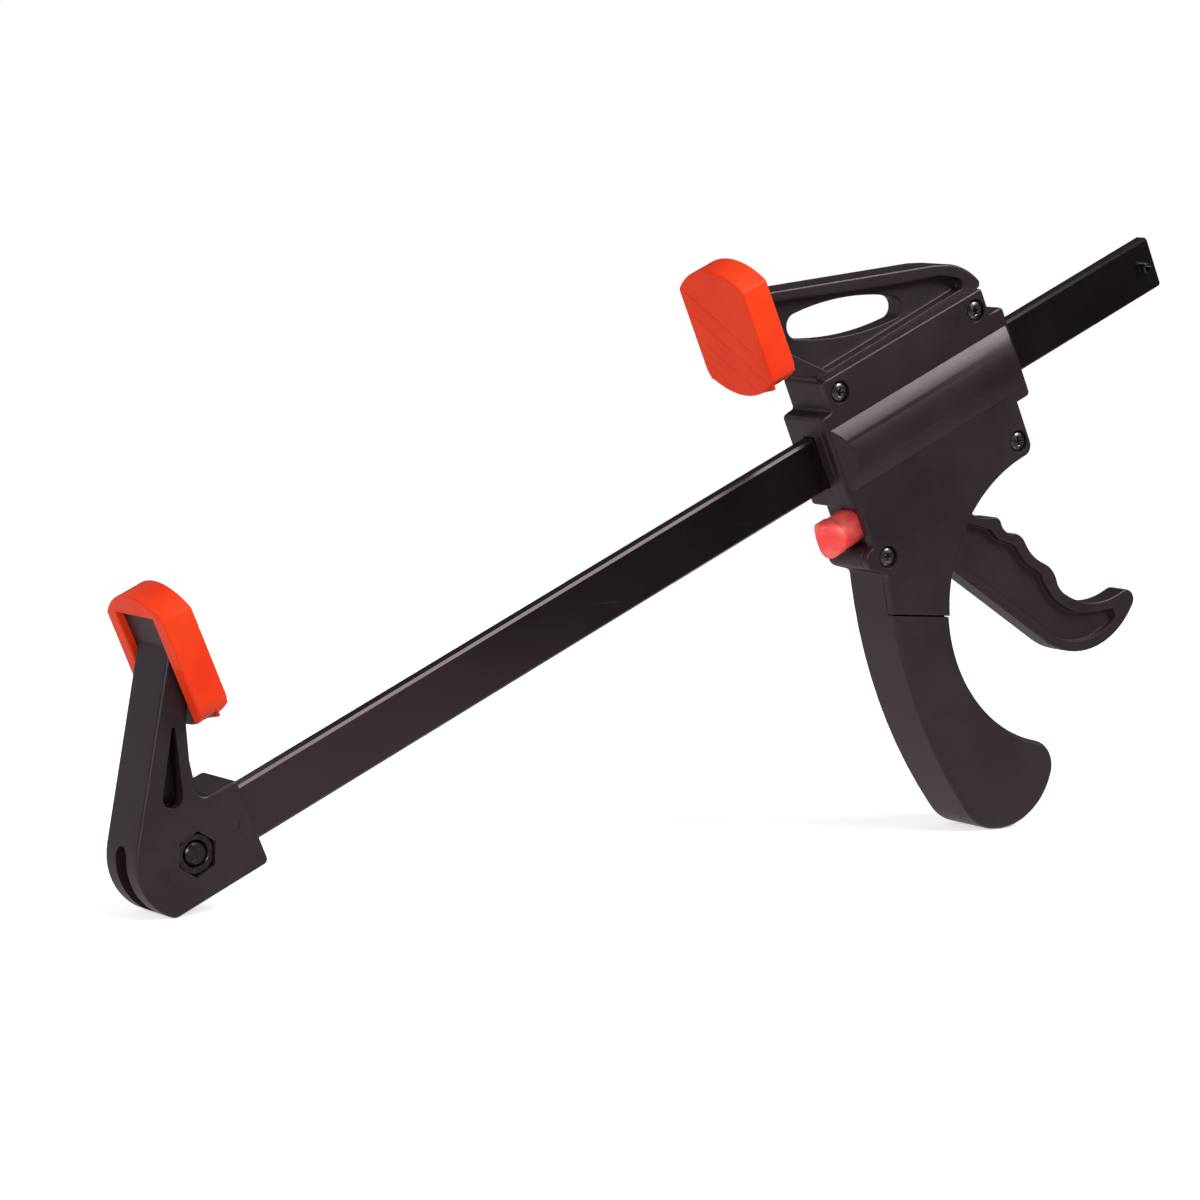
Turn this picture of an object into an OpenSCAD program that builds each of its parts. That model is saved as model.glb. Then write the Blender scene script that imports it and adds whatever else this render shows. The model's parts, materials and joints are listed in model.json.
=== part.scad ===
// Quick release bar clamp, one-hand type.
// A flat steel bar carries a jaw on one end. A head with the second jaw, a grip, a squeeze
// trigger and a release button slides on it. All sizes in mm.
// Every piece is drawn on the straight clamp: x along the bar from the fixed jaw to the
// head, y across, z up to the jaw tips, origin on the bar's middle line. The clamp is then
// laid down on the heel of its jaw and the end of its grip.

/* [Bar] */

// height of the bar's section
bar_h = 20; // [19:0.5:20]
// thickness of the bar
bar_t = 6; // [5:0.5:6.4]
// length of the bar
bar_len = 474; // [440:2:560]
// gap between the two pads as it stands
opening = 240; // [200:5:260]

/* [Jaws] */

// width of the fixed jaw across the bar
jaw_w = 21.5; // [20:0.5:23]
// width of the arm of the moving jaw
arm_w = 16; // [14:0.5:16.5]
// width of the soft pads
pad_w = 37.6; // [36:0.2:40]
// thickness of the soft pads
pad_t = 11.7; // [11.2:0.1:13]

/* [Head] */

// width of the head without its bulges
head_w = 23.5; // [23:0.5:26]
// thickness of the cover plate
cover_t = 3.75; // [3.5:0.05:4]
// outer radius of the bulge over the drive spring
bulge_r = 26.4; // [26:0.2:28]
// radius of the hollow of the grip, where the hand closes
palm_r = 56.6; // [56:0.2:57]

/* [Trigger] */

// width of the trigger
trigger_w = 9.6; // [8:0.2:10.4]
// depth of the hollow in each flank of the trigger
trigger_hollow = 2.4; // [1:0.2:3]
// diameter of the trigger pin
pin_d = 5; // [4:0.5:6]

/* [Release button] */

// diameter of the button
button_d = 14; // [13:0.2:14.2]

/* [Springs and plates] */

// thickness of each drive plate and of the brake plate
plate_t = 3; // [2.5:0.1:3.1]
// lean of the drive plates as they stand
drive_lean = 5; // [4:0.5:6]
// lean of the brake plate as it stands
brake_lean = 7; // [6.8:0.1:7.2]
// wire of the drive spring
drive_wire = 1.4; // [1:0.1:1.5]
// turns of the drive spring
drive_turns = 7; // [5:1:9]
// wire of the brake spring
brake_wire = 0.9; // [0.7:0.1:1.1]

/* [Hidden] */
$fn = 64;

plastic = [0.2, 0.18, 0.19];
cover_plastic = [0.17, 0.15, 0.17];
steel = [0.55, 0.56, 0.58];
dark_steel = [0.22, 0.2, 0.21];
black_coat = [0.08, 0.08, 0.09];
pad_red = [0.92, 0.25, 0.13];
button_red = [0.85, 0.12, 0.14];

// Bar: its start behind the bolt, its far end, the pin through that end, and the height of
// its middle line.
bar_start = -36;
bar_end = bar_start + bar_len;
end_pin_x = bar_end - 6;
end_pin_d = 4;
end_pin_len = 12;
bar_gap = 0.2;
bar_z = -0.3;

// Heel of the fixed jaw: the large round of its back, the tighter one below that, and the
// small round that the jaw stands on.
jaw_low = -16.1;
heel_c = [-21, -1.9];
heel_r = 24.4;
sole_dir = 158.8;
sole_r = 20.3;
sole_c = heel_c + (heel_r - sole_r) * [cos(sole_dir), sin(sole_dir)];
foot_r = 3.4;
foot_rise = jaw_low + foot_r - sole_c[1];
foot_c = [sole_c[0] - sqrt(pow(sole_r - foot_r, 2) - pow(foot_rise, 2)), jaw_low + foot_r];
bolt_c = [-22.5, bar_z];
bolt_d = 8;

// Pads: end face of the fixed pad, the moving pad's face from the head's own zero, and how
// much higher or lower than drawn each of them sits.
face_x = 5;
reach = 19.5;
fixed_lift = 0.7;
moving_lift = -0.35;
tongue_t = 4.9;
front_wall = 4;
head_x = face_x + opening + reach;

// Grip: the rounds of its outline, on the head.
palm_c = [79.9, -36.7 - palm_r];
back_c = [189.25, -97.75];
back_r = 190;
rump_c = [23.87, -143.56];
rump_r = 18.38;
base_c = [27.77, -137.18];
base_r = 25.86;
lobe_c = [40, -146.91];
lobe_r = 10.23;

// The clamp lies on the small round of its heel and on the base of the grip.
base_at = [head_x + base_c[0], base_c[1]];
foot_gap = [base_at[0] - foot_c[0], base_at[1] - foot_c[1]];
tilt = -atan2(foot_gap[1], foot_gap[0]) + asin((base_r - foot_r) / norm(foot_gap));
lay_z = foot_r - foot_c[0] * sin(tilt) - foot_c[1] * cos(tilt);
low_x = heel_c[0] * cos(tilt) - heel_c[1] * sin(tilt) - heel_r;
high_x = bar_end * cos(tilt) + (bar_z + bar_h / 2) * sin(tilt);
lay_x = -(low_x + high_x) / 2;

// Head: half width, the flat where cover and body meet, and the hollow round the bar.
side = head_w / 2;
split = side - cover_t;
hollow_r = 12.4;
bulge_half = 12.4;
bulge_high = 15.1;
bulge_back = bulge_high - bulge_r;

// Trigger: pivot, lie of the lever, nose that pushes the plates.
pivot = [38, -40];
lever_dir = -55.5;
nose_reach = 16.5;
nose_r = 3;
nose_dir = 158;
hub_r = 7.5;

// Drive plates: where the nose meets the rear one, at the height of the nose.
nose_z = pivot[1] + nose_reach * cos(12.5);
drive_x = pivot[0] - nose_reach * sin(12.5) + nose_r + 0.35;
plate_w = 15;

// Brake plate and button.
brake_pivot = [20, 14];
button_z = -28.2;
button_r = button_d / 2;

screw_at = [[11.5, 23.2], [80, 23.3], [80.3, -30.2], [8.4, -41.8]];

// ---------- helpers ----------

// Points of an arc about c, from angle a to angle b.
function arc(c, r, a, b, step = 4) =
    let (n = max(2, ceil(abs(b - a) / step)))
    [for (i = [0 : n]) [c[0] + r * cos(a + (b - a) * i / n), c[1] + r * sin(a + (b - a) * i / n)]];

// A profile drawn in x and z, thick from y = a to y = b.
module slab(a, b) {
    translate([0, b, 0])
        rotate([90, 0, 0])
            linear_extrude(b - a)
                children();
}

// A profile drawn in y and z, long from x = a to x = b.
module run(a, b) {
    translate([a, 0, 0])
        rotate([90, 0, 90])
            linear_extrude(b - a)
                children();
}

// A round bar across the clamp, from y = a to y = b.
module across(c, r, a, b) {
    translate([c[0], b, c[1]])
        rotate([90, 0, 0])
            cylinder(r = r, h = b - a);
}

// A hexagon across the clamp, af over its flats.
module hex_across(c, af, a, b, turn = 5) {
    translate([c[0], b, c[1]])
        rotate([90, 0, 0])
            rotate([0, 0, turn])
                cylinder(r = af / 2 / cos(30), h = b - a, $fn = 6);
}

// Lays the straight clamp down.
module laid() {
    translate([lay_x, 0, lay_z])
        rotate([0, -tilt, 0])
            children();
}

// The head's own place on the bar.
module on_head() {
    laid()
        translate([head_x, 0, 0])
            children();
}

// A round wire wound about the x axis from x = a to x = b.
module coil(a, b, r, wire, turns, per_turn = 20, sides = 6) {
    n = turns * per_turn;
    pts = [
        for (i = [0 : n], j = [0 : sides - 1])
            let (t = 360 * i / per_turn, q = 360 * j / sides, rr = r + wire / 2 * cos(q))
            [a + (b - a) * i / n + wire / 2 * sin(q), rr * cos(t), rr * sin(t)]
    ];
    walls = [
        for (i = [0 : n - 1], j = [0 : sides - 1])
            let (k = (j + 1) % sides, p = i * sides)
            [p + j, p + k, p + sides + k, p + sides + j]
    ];
    first = [for (j = [sides - 1 : -1 : 0]) j];
    last = [for (j = [0 : sides - 1]) n * sides + j];
    polyhedron(points = pts, faces = concat([first], walls, [last]), convexity = 10);
}

// ---------- bar ----------

module bar() {
    color(black_coat)
        laid()
            difference() {
                translate([bar_start, -bar_t / 2, bar_z - bar_h / 2])
                    cube([bar_len, bar_t, bar_h]);
                across(bolt_c, bolt_d / 2 + 0.2, -bar_t, bar_t);
                across([end_pin_x, bar_z], end_pin_d / 2 + 0.02, -bar_t, bar_t);
            }
}

module bar_end_pin() {
    color(dark_steel)
        laid()
            across([end_pin_x, bar_z], end_pin_d / 2, -end_pin_len / 2, end_pin_len / 2);
}

// ---------- fixed jaw ----------

// Side view of the jaw: socket, arm, back and heel.
module jaw_outline() {
    polygon(concat(
        arc(foot_c, foot_r, 229, 270, 10),
        arc([-0.7, jaw_low + 1.2], 1.2, 270, 360, 22.5),
        [[0.5, 15.3], [-7, 15.5]],
        arc([-10.6, 18.6], 3.1, 270, 180, 15),
        [[-13.8, 20], [-12.1, 29.3], [-8.4, 40.5], [0.5, 58], [0.5, 73.2], [-3.4, 67.5]],
        arc(heel_c, heel_r, 145.9, sole_dir - 1.5),
        arc(sole_c, sole_r, sole_dir + 1.5, 225)
    ));
}

// Side view of the tapering hollow in each flank of the jaw's arm.
module jaw_hollow() {
    low = [-22.8, 21.3];
    tip = [-13.5, 41.5];
    a = atan2(tip[1] - low[1], tip[0] - low[0]);
    r = 3.7;
    polygon(concat(arc(low, r, a + 80, a + 280, 10), arc(tip, 0.6, a - 90, a + 90, 30)));
}

// The tongue that a pad slips over: front at x = 0, back at x = tongue_t.
module tongue(grow = 0) {
    half = 15.5 + grow;
    top = 78.6 + grow;
    run(-grow, tongue_t + grow)
        polygon(concat(
            arc([0, 64.1], 28, 236.4, 303.6, 6),
            [[half, 74 + grow], [12.5, top], [-12.5, top], [-half, 74 + grow]]
        ));
}

module fixed_jaw() {
    half = jaw_w / 2;
    color(plastic)
        laid()
            difference() {
                union() {
                    slab(-half, half)
                        jaw_outline();
                    translate([face_x - front_wall, 0, fixed_lift])
                        mirror([1, 0, 0])
                            tongue();
                }
                translate([bar_start - bar_gap, -bar_t / 2 - 0.1, bar_z - bar_h / 2 - 0.1])
                    cube([60, bar_t + 0.2, bar_h + 0.2]);
                slab(-3.7, 3.7)
                    polygon([[-50, 11.6], [-38, 11.6], [-38, -14.6], [-50, -14.6]]);
                slab(-half - 1, -half + 6)
                    jaw_hollow();
                slab(half - 6, half + 1)
                    jaw_hollow();
                across(bolt_c, bolt_d / 2 + 0.1, -half, half);
                hex_across(bolt_c, 13.4, -half - 1, -5.6);
                across(bolt_c, 8.6, 5, half + 1);
            }
}

module jaw_bolt() {
    color(dark_steel)
        laid() {
            across(bolt_c, bolt_d / 2, -10, 6.2);
            hex_across(bolt_c, 13, 6.2, 11.5);
        }
}

module jaw_washer() {
    color(dark_steel)
        laid()
            difference() {
                across(bolt_c, 8, 5, 6.2);
                across(bolt_c, bolt_d / 2 + 0.2, 4, 7);
            }
}

module jaw_nut() {
    color(dark_steel)
        laid()
            difference() {
                hex_across(bolt_c, 13, -9.6, -5.6);
                across(bolt_c, bolt_d / 2, -10, -4);
            }
}

// ---------- pads ----------

// Front view of a pad between its two flat flanks.
module pad_outline() {
    half = pad_w / 2;
    top_r = 26.8;
    low_r = 28;
    a = acos(half / top_r);
    b = acos(half / low_r);
    polygon(concat(
        arc([0, 84.8 - top_r], top_r, a, 180 - a),
        arc([0, 35.9 + low_r], low_r, 180 + b, 360 - b)
    ));
}

// A pad with its clamping face at x = 0, looking down the bar to the fixed jaw.
// tab_side tells on which flank the small tab under it sits.
module pad(tab_side) {
    difference() {
        union() {
            run(0, pad_t)
                pad_outline();
            run(2.6, 3.8)
                polygon([
                    [tab_side * 4, 35.9], [tab_side * 14, 37.9], [tab_side * 14, 42],
                    [tab_side * 4, 42]
                ]);
        }
        translate([front_wall, 0, 0])
            tongue(0.1);
        translate([front_wall - 0.1, -15.6, 30])
            cube([tongue_t + 0.2, 31.2, 12]);
        translate([front_wall + tongue_t - 0.5, -12.5, 30])
            cube([10, 25, 47.5]);
        for (z = [50.3, 59.9, 69.5, 79.1])
            translate([0, 18.6, z])
                rotate([38.7, 0, 0])
                    translate([-1, -60, -0.4])
                        cube([1.5, 70, 0.8]);
    }
}

module fixed_jaw_pad() {
    color(pad_red)
        laid()
            translate([face_x, 0, fixed_lift])
                rotate([0, 0, 180])
                    pad(1);
}

module moving_jaw_pad() {
    color(pad_red)
        on_head()
            translate([-reach, 0, moving_lift])
                pad(-1);
}

// ---------- head ----------

// Side view of head and grip. front is the x of the wall behind the button.
module head_outline(front) {
    polygon(concat(
        arc(back_c, back_r, 165.8, 194.9),
        arc(rump_c, rump_r, 198.5, 236.5, 6),
        arc(base_c, base_r, 240, 319),
        arc(lobe_c, lobe_r, 325, 410, 6),
        arc(palm_c, palm_r, 232.5, 90),
        arc([81.5, -32.7], 4, 270, 360, 15),
        [[85.5, -16.5], [92, -16.5], [92, 19.5], [85.5, 19.5]],
        arc([84, 28.5], 1.5, 0, 90, 30),
        arc([7, 28.5], 1.5, 90, 180, 30),
        [[5.5, 18], [0, 17.5], [0, -18.6], [front, -19], [front, -35.3]],
        arc([3.4, -40.1], 4.6, 95, 225, 10),
        arc([2.7, -49], 2.9, 58, 0, 15)
    ));
}

// Side view of all below the cover's lower edge.
module below_cover() {
    polygon([[-10, -56.3], [60, -94], [80, -170], [-10, -170]]);
}

// The bulge over the drive spring, on the side where y is negative.
module bulge() {
    intersection() {
        run(0, 92)
            intersection() {
                translate([-bulge_back, 0])
                    circle(r = bulge_r);
                translate([-bulge_high - 1, -bulge_half])
                    square([bulge_high - split + 1, 2 * bulge_half]);
            }
        translate([0, 0, -bulge_half - 1])
            linear_extrude(2 * bulge_half + 2)
                polygon([
                    [1.5, -split], [1.5, -side], [7, -bulge_high], [88.5, -bulge_high],
                    [90.5, -side], [90.5, -split]
                ]);
    }
}

// The round hollow for the drive spring.
module spring_hollow() {
    translate([29, 0, bar_z])
        rotate([0, 90, 0])
            cylinder(r = hollow_r, h = 53.5);
}

// Side view of the arm of the moving jaw down to its root in the head.
module arm_outline() {
    polygon(concat(
        [[6, 20], [6, 31], [-10.1, 40], [-11, 44], [-11, 71.5], [56.6, 50.3], [71, 45.7]],
        arc([67, 21.8], 23.6, 70, 23, 6),
        [[88.2, 29.3], [86, 28.5], [80, 20]]
    ));
}

// Side view of the hole through that arm.
module arm_hole() {
    polygon(concat(
        arc([8.3, 50.4], 4.6, 90, 238, 12),
        arc([57.1, 142.1], 108.5, 243, 265.5),
        arc([50.4, 38], 4.2, 270, 416, 12),
        arc([2.2, -45.3], 100.5, 60.5, 86)
    ));
}

// Side view of the shallow field inside the arm's rim.
module arm_field() {
    polygon(concat(
        [[-9, 67.3], [54, 46], [71.4, 41.1], [78.4, 37.2]],
        arc([78.4, 34.2], 2.4, 50, -60, 27),
        [[11.7, 31.2], [-0.1, 43.2], [-9, 48]]
    ));
}

// Side view of the rooms for the plates, the springs and the trigger.
module brake_room() {
    polygon([[8, -37], [27, -37], [27, 16.5], [8, 16.5]]);
}

module drive_room() {
    polygon([[29, -30], [56, -30], [56, 16.5], [29, 16.5]]);
}

module trigger_slot() {
    polygon([
        [29.2, -29], [29.2, -46], [26.3, -56], [25.8, -64], [26.6, -72], [60, -72], [62, -60],
        [62, -38], [47, -29]
    ]);
}

module main_body() {
    arm_half = arm_w / 2;
    color(plastic)
        on_head()
            difference() {
                union() {
                    slab(-split, side)
                        head_outline(5.5);
                    slab(-side, side)
                        intersection() {
                            head_outline(5.5);
                            below_cover();
                        }
                    mirror([0, 1, 0])
                        bulge();
                    slab(-arm_half, arm_half)
                        arm_outline();
                    translate([-reach + front_wall, 0, moving_lift])
                        tongue();
                }
                slab(-split - 1, split)
                    brake_room();
                slab(-split - 1, split)
                    drive_room();
                slab(-5.4, 5.4)
                    trigger_slot();
                spring_hollow();
                translate([-1, -bar_t / 2 - bar_gap, bar_z - bar_h / 2 - 0.3])
                    cube([100, bar_t + 2 * bar_gap, bar_h + 0.6]);
                translate([0, 0, button_z])
                    rotate([0, 90, 0])
                        cylinder(r = button_r - 0.05, h = 12);
                slab(-arm_half - 1, arm_half + 1)
                    arm_hole();
                slab(-arm_half - 1, -arm_half + 4)
                    arm_field();
                slab(arm_half - 4, arm_half + 1)
                    arm_field();
                across(pivot, pin_d / 2 + 0.02, -split - 1, split + 2);
                for (p = screw_at)
                    across(p, 1.52, -split - 1, 4);
            }
}

module front_cover() {
    color(cover_plastic)
        on_head()
            difference() {
                union() {
                    slab(-side, -split)
                        difference() {
                            head_outline(3.5);
                            below_cover();
                        }
                    bulge();
                }
                spring_hollow();
                across(pivot, pin_d / 2 + 0.02, -split - 2, 0);
                for (p = screw_at) {
                    across(p, 4.1, -side - 1, -side + 2.2);
                    across(p, 1.6, -side - 1, 0);
                }
            }
}

// Cross recess screw across the head, its bearing face at y = 0, head to the outside.
module cover_screw() {
    difference() {
        union() {
            across([0, 0], 3.5, -1.3, 0);
            intersection() {
                across([0, 0], 3.5, -2, -1.2);
                translate([0, 6.9, 0])
                    sphere(r = 8.9);
            }
            across([0, 0], 1.5, 0, 12);
        }
        translate([-0.5, -3, -2.1])
            cube([1, 2, 4.2]);
        translate([-2.1, -3, -0.5])
            cube([4.2, 2, 1]);
    }
}

module cover_screws() {
    color(dark_steel)
        on_head()
            for (p = screw_at)
                translate([p[0], -side + 2.2, p[1]])
                    rotate([0, p[0] + 20, 0])
                        cover_screw();
}

module trigger_pin() {
    color(steel)
        on_head()
            across(pivot, pin_d / 2, -split - 1.8, split + 1.8);
}

module spring_seat() {
    color(steel)
        on_head()
            difference() {
                translate([81, 0, bar_z])
                    rotate([0, 90, 0])
                        cylinder(r = hollow_r - 0.2, h = 1.5);
                translate([80, -bar_t / 2 - bar_gap, bar_z - bar_h / 2 - 0.3])
                    cube([4, bar_t + 2 * bar_gap, bar_h + 0.6]);
            }
}

module drive_spring() {
    color(steel)
        on_head()
            translate([0, 0, bar_z])
                coil(44, 80.1, 11.4, drive_wire, drive_turns);
}

module brake_spring() {
    color(steel)
        on_head()
            translate([0, 0, button_z])
                coil(17.6, 26.4, 3.1, brake_wire, 4, 16);
}

// ---------- trigger ----------

// Side view of the trigger, along the lever and across it towards the fingers.
module trigger_outline() {
    polygon(concat(
        arc(nose_reach * [cos(nose_dir), sin(nose_dir)], nose_r, 248, 68, 15),
        [[-8.9, 4.8]],
        arc([0, 0], hub_r, 130, 98, 10),
        [[16.4, 9.4], [20.1, 9.8]],
        arc([28.6, 10.7], 3.4, 120, 53, 16),
        arc([34.7, 17.7], 5.9, 233, 297, 16),
        arc([41.5, 6.8], 7, 117.7, 63, 13),
        arc([54, 27.6], 17.2, 241, 279.7, 10),
        arc([59.7, -0.1], 11, 98.7, 52, 13),
        arc([72.7, 14.8], 8.8, 232.7, 265.7, 11),
        arc([72.8, 35.1], 29.1, 271, 328, 8),
        arc([101.6, 18.5], 4.1, 145, 9, 16),
        arc([75.4, 16.6], 30.3, 2.5, -90, 8),
        [[19.6, -12.7]],
        arc([0, 0], hub_r, 262, 205, 12)
    ));
}

// Side view of the hollow in each flank of the trigger.
module trigger_hollow_outline() {
    polygon(concat(
        [[16.7, 5.3], [27.4, 8.7], [33, 7.5]],
        arc([41, 7.6], 1.8, 110, 60, 25),
        [[49.2, 6.4], [58.8, 6.7]],
        arc([74, 28.6], 27, 240, 290, 10),
        [[91, 8.2], [97.7, 12.8]],
        arc([75, 16], 26, -12, -84, 9),
        [[22, -9.6]]
    ));
}

module trigger() {
    half = trigger_w / 2;
    color(plastic)
        on_head()
            translate([pivot[0], 0, pivot[1]])
                rotate([0, -lever_dir, 0])
                    difference() {
                        slab(-half, half)
                            trigger_outline();
                        slab(-half - 1, -half + trigger_hollow)
                            trigger_hollow_outline();
                        slab(half - trigger_hollow, half + 1)
                            trigger_hollow_outline();
                        across([0, 0], pin_d / 2 + 0.05, -half - 1, half + 1);
                    }
}

// ---------- plates ----------

// A plate across the bar, standing on x = 0 with its hole round the bar, foot to top.
module grip_plate(foot, top) {
    difference() {
        translate([0, -plate_w / 2, foot])
            cube([plate_t, plate_w, top - foot]);
        translate([-1, -bar_t / 2 - 0.3, bar_z - bar_h / 2 - 0.65])
            cube([plate_t + 2, bar_t + 0.6, bar_h + 1.3]);
    }
}

// Stands a drive plate at its lean, set off along the bar by shift.
module drive_stand(shift) {
    on_head()
        translate([drive_x + nose_z * tan(drive_lean) + shift, 0, 0])
            rotate([0, -drive_lean, 0])
                children();
}

module drive_plate_rear() {
    color(steel)
        drive_stand(0)
            grip_plate(-26, 15);
}

module drive_plate_front() {
    color(steel)
        drive_stand((plate_t + 0.1) / cos(drive_lean))
            grip_plate(-26, 15);
}

module brake_plate() {
    color(steel)
        on_head()
            translate([brake_pivot[0], 0, brake_pivot[1]])
                rotate([0, brake_lean, 0])
                    translate([-plate_t / 2, 0, -brake_pivot[1]])
                        grip_plate(-33, 15);
}

// ---------- release button ----------

module release_button() {
    color(button_red)
        on_head()
            translate([0, 0, button_z])
                difference() {
                    union() {
                        intersection() {
                            translate([-10.8, 0, 0])
                                rotate([0, 90, 0])
                                    cylinder(r = button_r, h = 8);
                            across([1.2, 0], 12, -10, 10);
                        }
                        translate([-3, 0, 0])
                            rotate([0, 90, 0])
                                cylinder(r = button_r - 0.4, h = 12);
                        translate([8.3, 0, 0])
                            rotate([0, 90, 0])
                                cylinder(r = button_r + 0.6, h = 1.5);
                        translate([9, 0, 0])
                            rotate([0, 90, 0])
                                cylinder(r = 2, h = 3.85);
                    }
                    for (s = [0, 1])
                        mirror([0, s, 0])
                            translate([-10.8, 0, -10])
                                linear_extrude(20)
                                    polygon([[-1, 0.6], [0, 0.6], [6.3, 7], [6.3, 9], [-1, 9]]);
                }
}

bar();
bar_end_pin();
fixed_jaw();
jaw_bolt();
jaw_washer();
jaw_nut();
fixed_jaw_pad();
main_body();
front_cover();
cover_screws();
moving_jaw_pad();
trigger_pin();
spring_seat();
drive_spring();
brake_spring();
trigger();
drive_plate_front();
drive_plate_rear();
brake_plate();
release_button();
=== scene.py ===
"""Quick release bar clamp: the dressed model.

Every piece of the clamp that shows is modelled here on the sizes of its solid, with rounded
edges, mould marks, parting lines and cross recesses, and stands for the solid of its name. The
plates and springs inside the head keep their solids and get their metals.
"""

import json
import logging
import math
from collections.abc import Callable, Sequence
from dataclasses import dataclass
from enum import Enum

import bmesh
import bpy
from mathutils import Matrix, Vector


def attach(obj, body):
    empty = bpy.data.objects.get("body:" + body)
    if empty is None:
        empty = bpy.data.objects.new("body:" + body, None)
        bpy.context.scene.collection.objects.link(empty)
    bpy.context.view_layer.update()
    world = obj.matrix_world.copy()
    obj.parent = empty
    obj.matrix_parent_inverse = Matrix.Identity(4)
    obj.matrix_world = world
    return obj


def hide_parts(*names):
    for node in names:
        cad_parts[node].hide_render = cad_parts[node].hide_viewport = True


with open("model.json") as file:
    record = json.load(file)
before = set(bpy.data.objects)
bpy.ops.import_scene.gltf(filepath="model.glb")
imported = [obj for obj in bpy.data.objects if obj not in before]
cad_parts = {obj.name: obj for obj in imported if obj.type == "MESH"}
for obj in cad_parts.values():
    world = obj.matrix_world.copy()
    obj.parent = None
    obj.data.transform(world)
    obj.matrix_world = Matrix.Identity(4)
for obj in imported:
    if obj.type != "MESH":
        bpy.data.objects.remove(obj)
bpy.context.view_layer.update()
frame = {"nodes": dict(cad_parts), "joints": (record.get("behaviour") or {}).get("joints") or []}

LOG = logging.getLogger("bar_clamp")
MM = 0.001
NEAR = 0.004
SHARP = 32.0
FULL_TURN = 360.0
BAR_MIDDLE = -0.3
BOLT_AT = (-22.5, BAR_MIDDLE)
FIXED_LIFT = 0.7
MOVING_LIFT = -0.35
PAD_WALL = 4.0
WHITE = (1.0, 1.0, 1.0, 1.0)

Point = tuple[float, float]
Place = Sequence[float]
Outline = list[Point]
Colour = tuple[float, float, float]
EdgeTest = Callable[[Vector, Vector], bool]


# ---------------------------------------------------------------- outlines and edge tests


def arc(centre: Point, radius: float, start: float, stop: float, step: float = 4.0) -> Outline:
    """Points of an arc.

    Args:
        centre: Middle of the arc.
        radius: Its radius.
        start: Angle of the first point, in degrees.
        stop: Angle of the last point, in degrees.
        step: Largest angle between two points.

    Returns:
        The points, both ends among them.
    """
    count = max(2, math.ceil(abs(stop - start) / step))
    turns = [math.radians(start + (stop - start) * i / count) for i in range(count + 1)]
    return [(centre[0] + radius * math.cos(t), centre[1] + radius * math.sin(t)) for t in turns]


def hexagon(centre: Point, across: float, turn: float = 5.0) -> Outline:
    """Corners of a hexagon, by its width over flats and the angle of its first corner."""
    return arc(centre, across / 2 / math.cos(math.radians(30)), turn, turn + 300, 60)


def ring(steps: Sequence[tuple[float, float]]) -> Outline:
    """Turns steps of radius and depth into the profile of a turned piece, axis to axis."""
    return [(0.0, steps[0][1]), *steps, (0.0, steps[-1][1])]


def on(axis: int, value: float) -> EdgeTest:
    """Makes a test for edges in the plane that stands across an axis at a value."""
    return lambda a, b: abs(a[axis] - value) < NEAR and abs(b[axis] - value) < NEAR


def ends(low: float, high: float, axis: int = 1) -> EdgeTest:
    """Makes a test for edges in one of two planes across an axis, across the clamp if unsaid."""
    return some(on(axis, low), on(axis, high))


def inside(low: Place, high: Place) -> EdgeTest:
    """Makes a test for edges within a box, given by its lowest and highest corner."""
    return lambda a, b: all(low[i] <= p[i] <= high[i] for p in (a, b) for i in range(3))


def lengthwise(a: Vector, b: Vector) -> bool:
    """Whether an edge runs along the bar."""
    return abs(a.x - b.x) > 1.0


def every(*tests: EdgeTest) -> EdgeTest:
    """Makes a test that holds where all the given tests hold."""
    return lambda a, b: all(t(a, b) for t in tests)


def some(*tests: EdgeTest) -> EdgeTest:
    """Makes a test that holds where one of the given tests holds."""
    return lambda a, b: any(t(a, b) for t in tests)


def shift(x: float = 0.0, z: float = 0.0) -> Matrix:
    """The move along the bar and up, in millimetres."""
    return Matrix.Translation((x, 0.0, z))


def swung(degrees: float, axis: str) -> Matrix:
    """The turn about an axis."""
    return Matrix.Rotation(math.radians(degrees), 4, axis)


class Plane(Enum):
    """The plane that an outline is drawn in, named by how the clamp is looked at."""

    SIDE = (0, 2, 1)
    END = (1, 2, 0)
    TOP = (0, 1, 2)

    def at(self, point: Point, depth: float) -> Vector:
        """Puts a point of the outline in space.

        Args:
            point: The point in the plane.
            depth: How far along the third axis it lies.

        Returns:
            The place in space.
        """
        spot = Vector((0.0, 0.0, 0.0))
        spot[self.value[0]], spot[self.value[1]], spot[self.value[2]] = point[0], point[1], depth
        return spot

    @property
    def through(self) -> Vector:
        """The direction across the plane."""
        return self.at((0.0, 0.0), 1.0)


# ---------------------------------------------------------------- the bench


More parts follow.
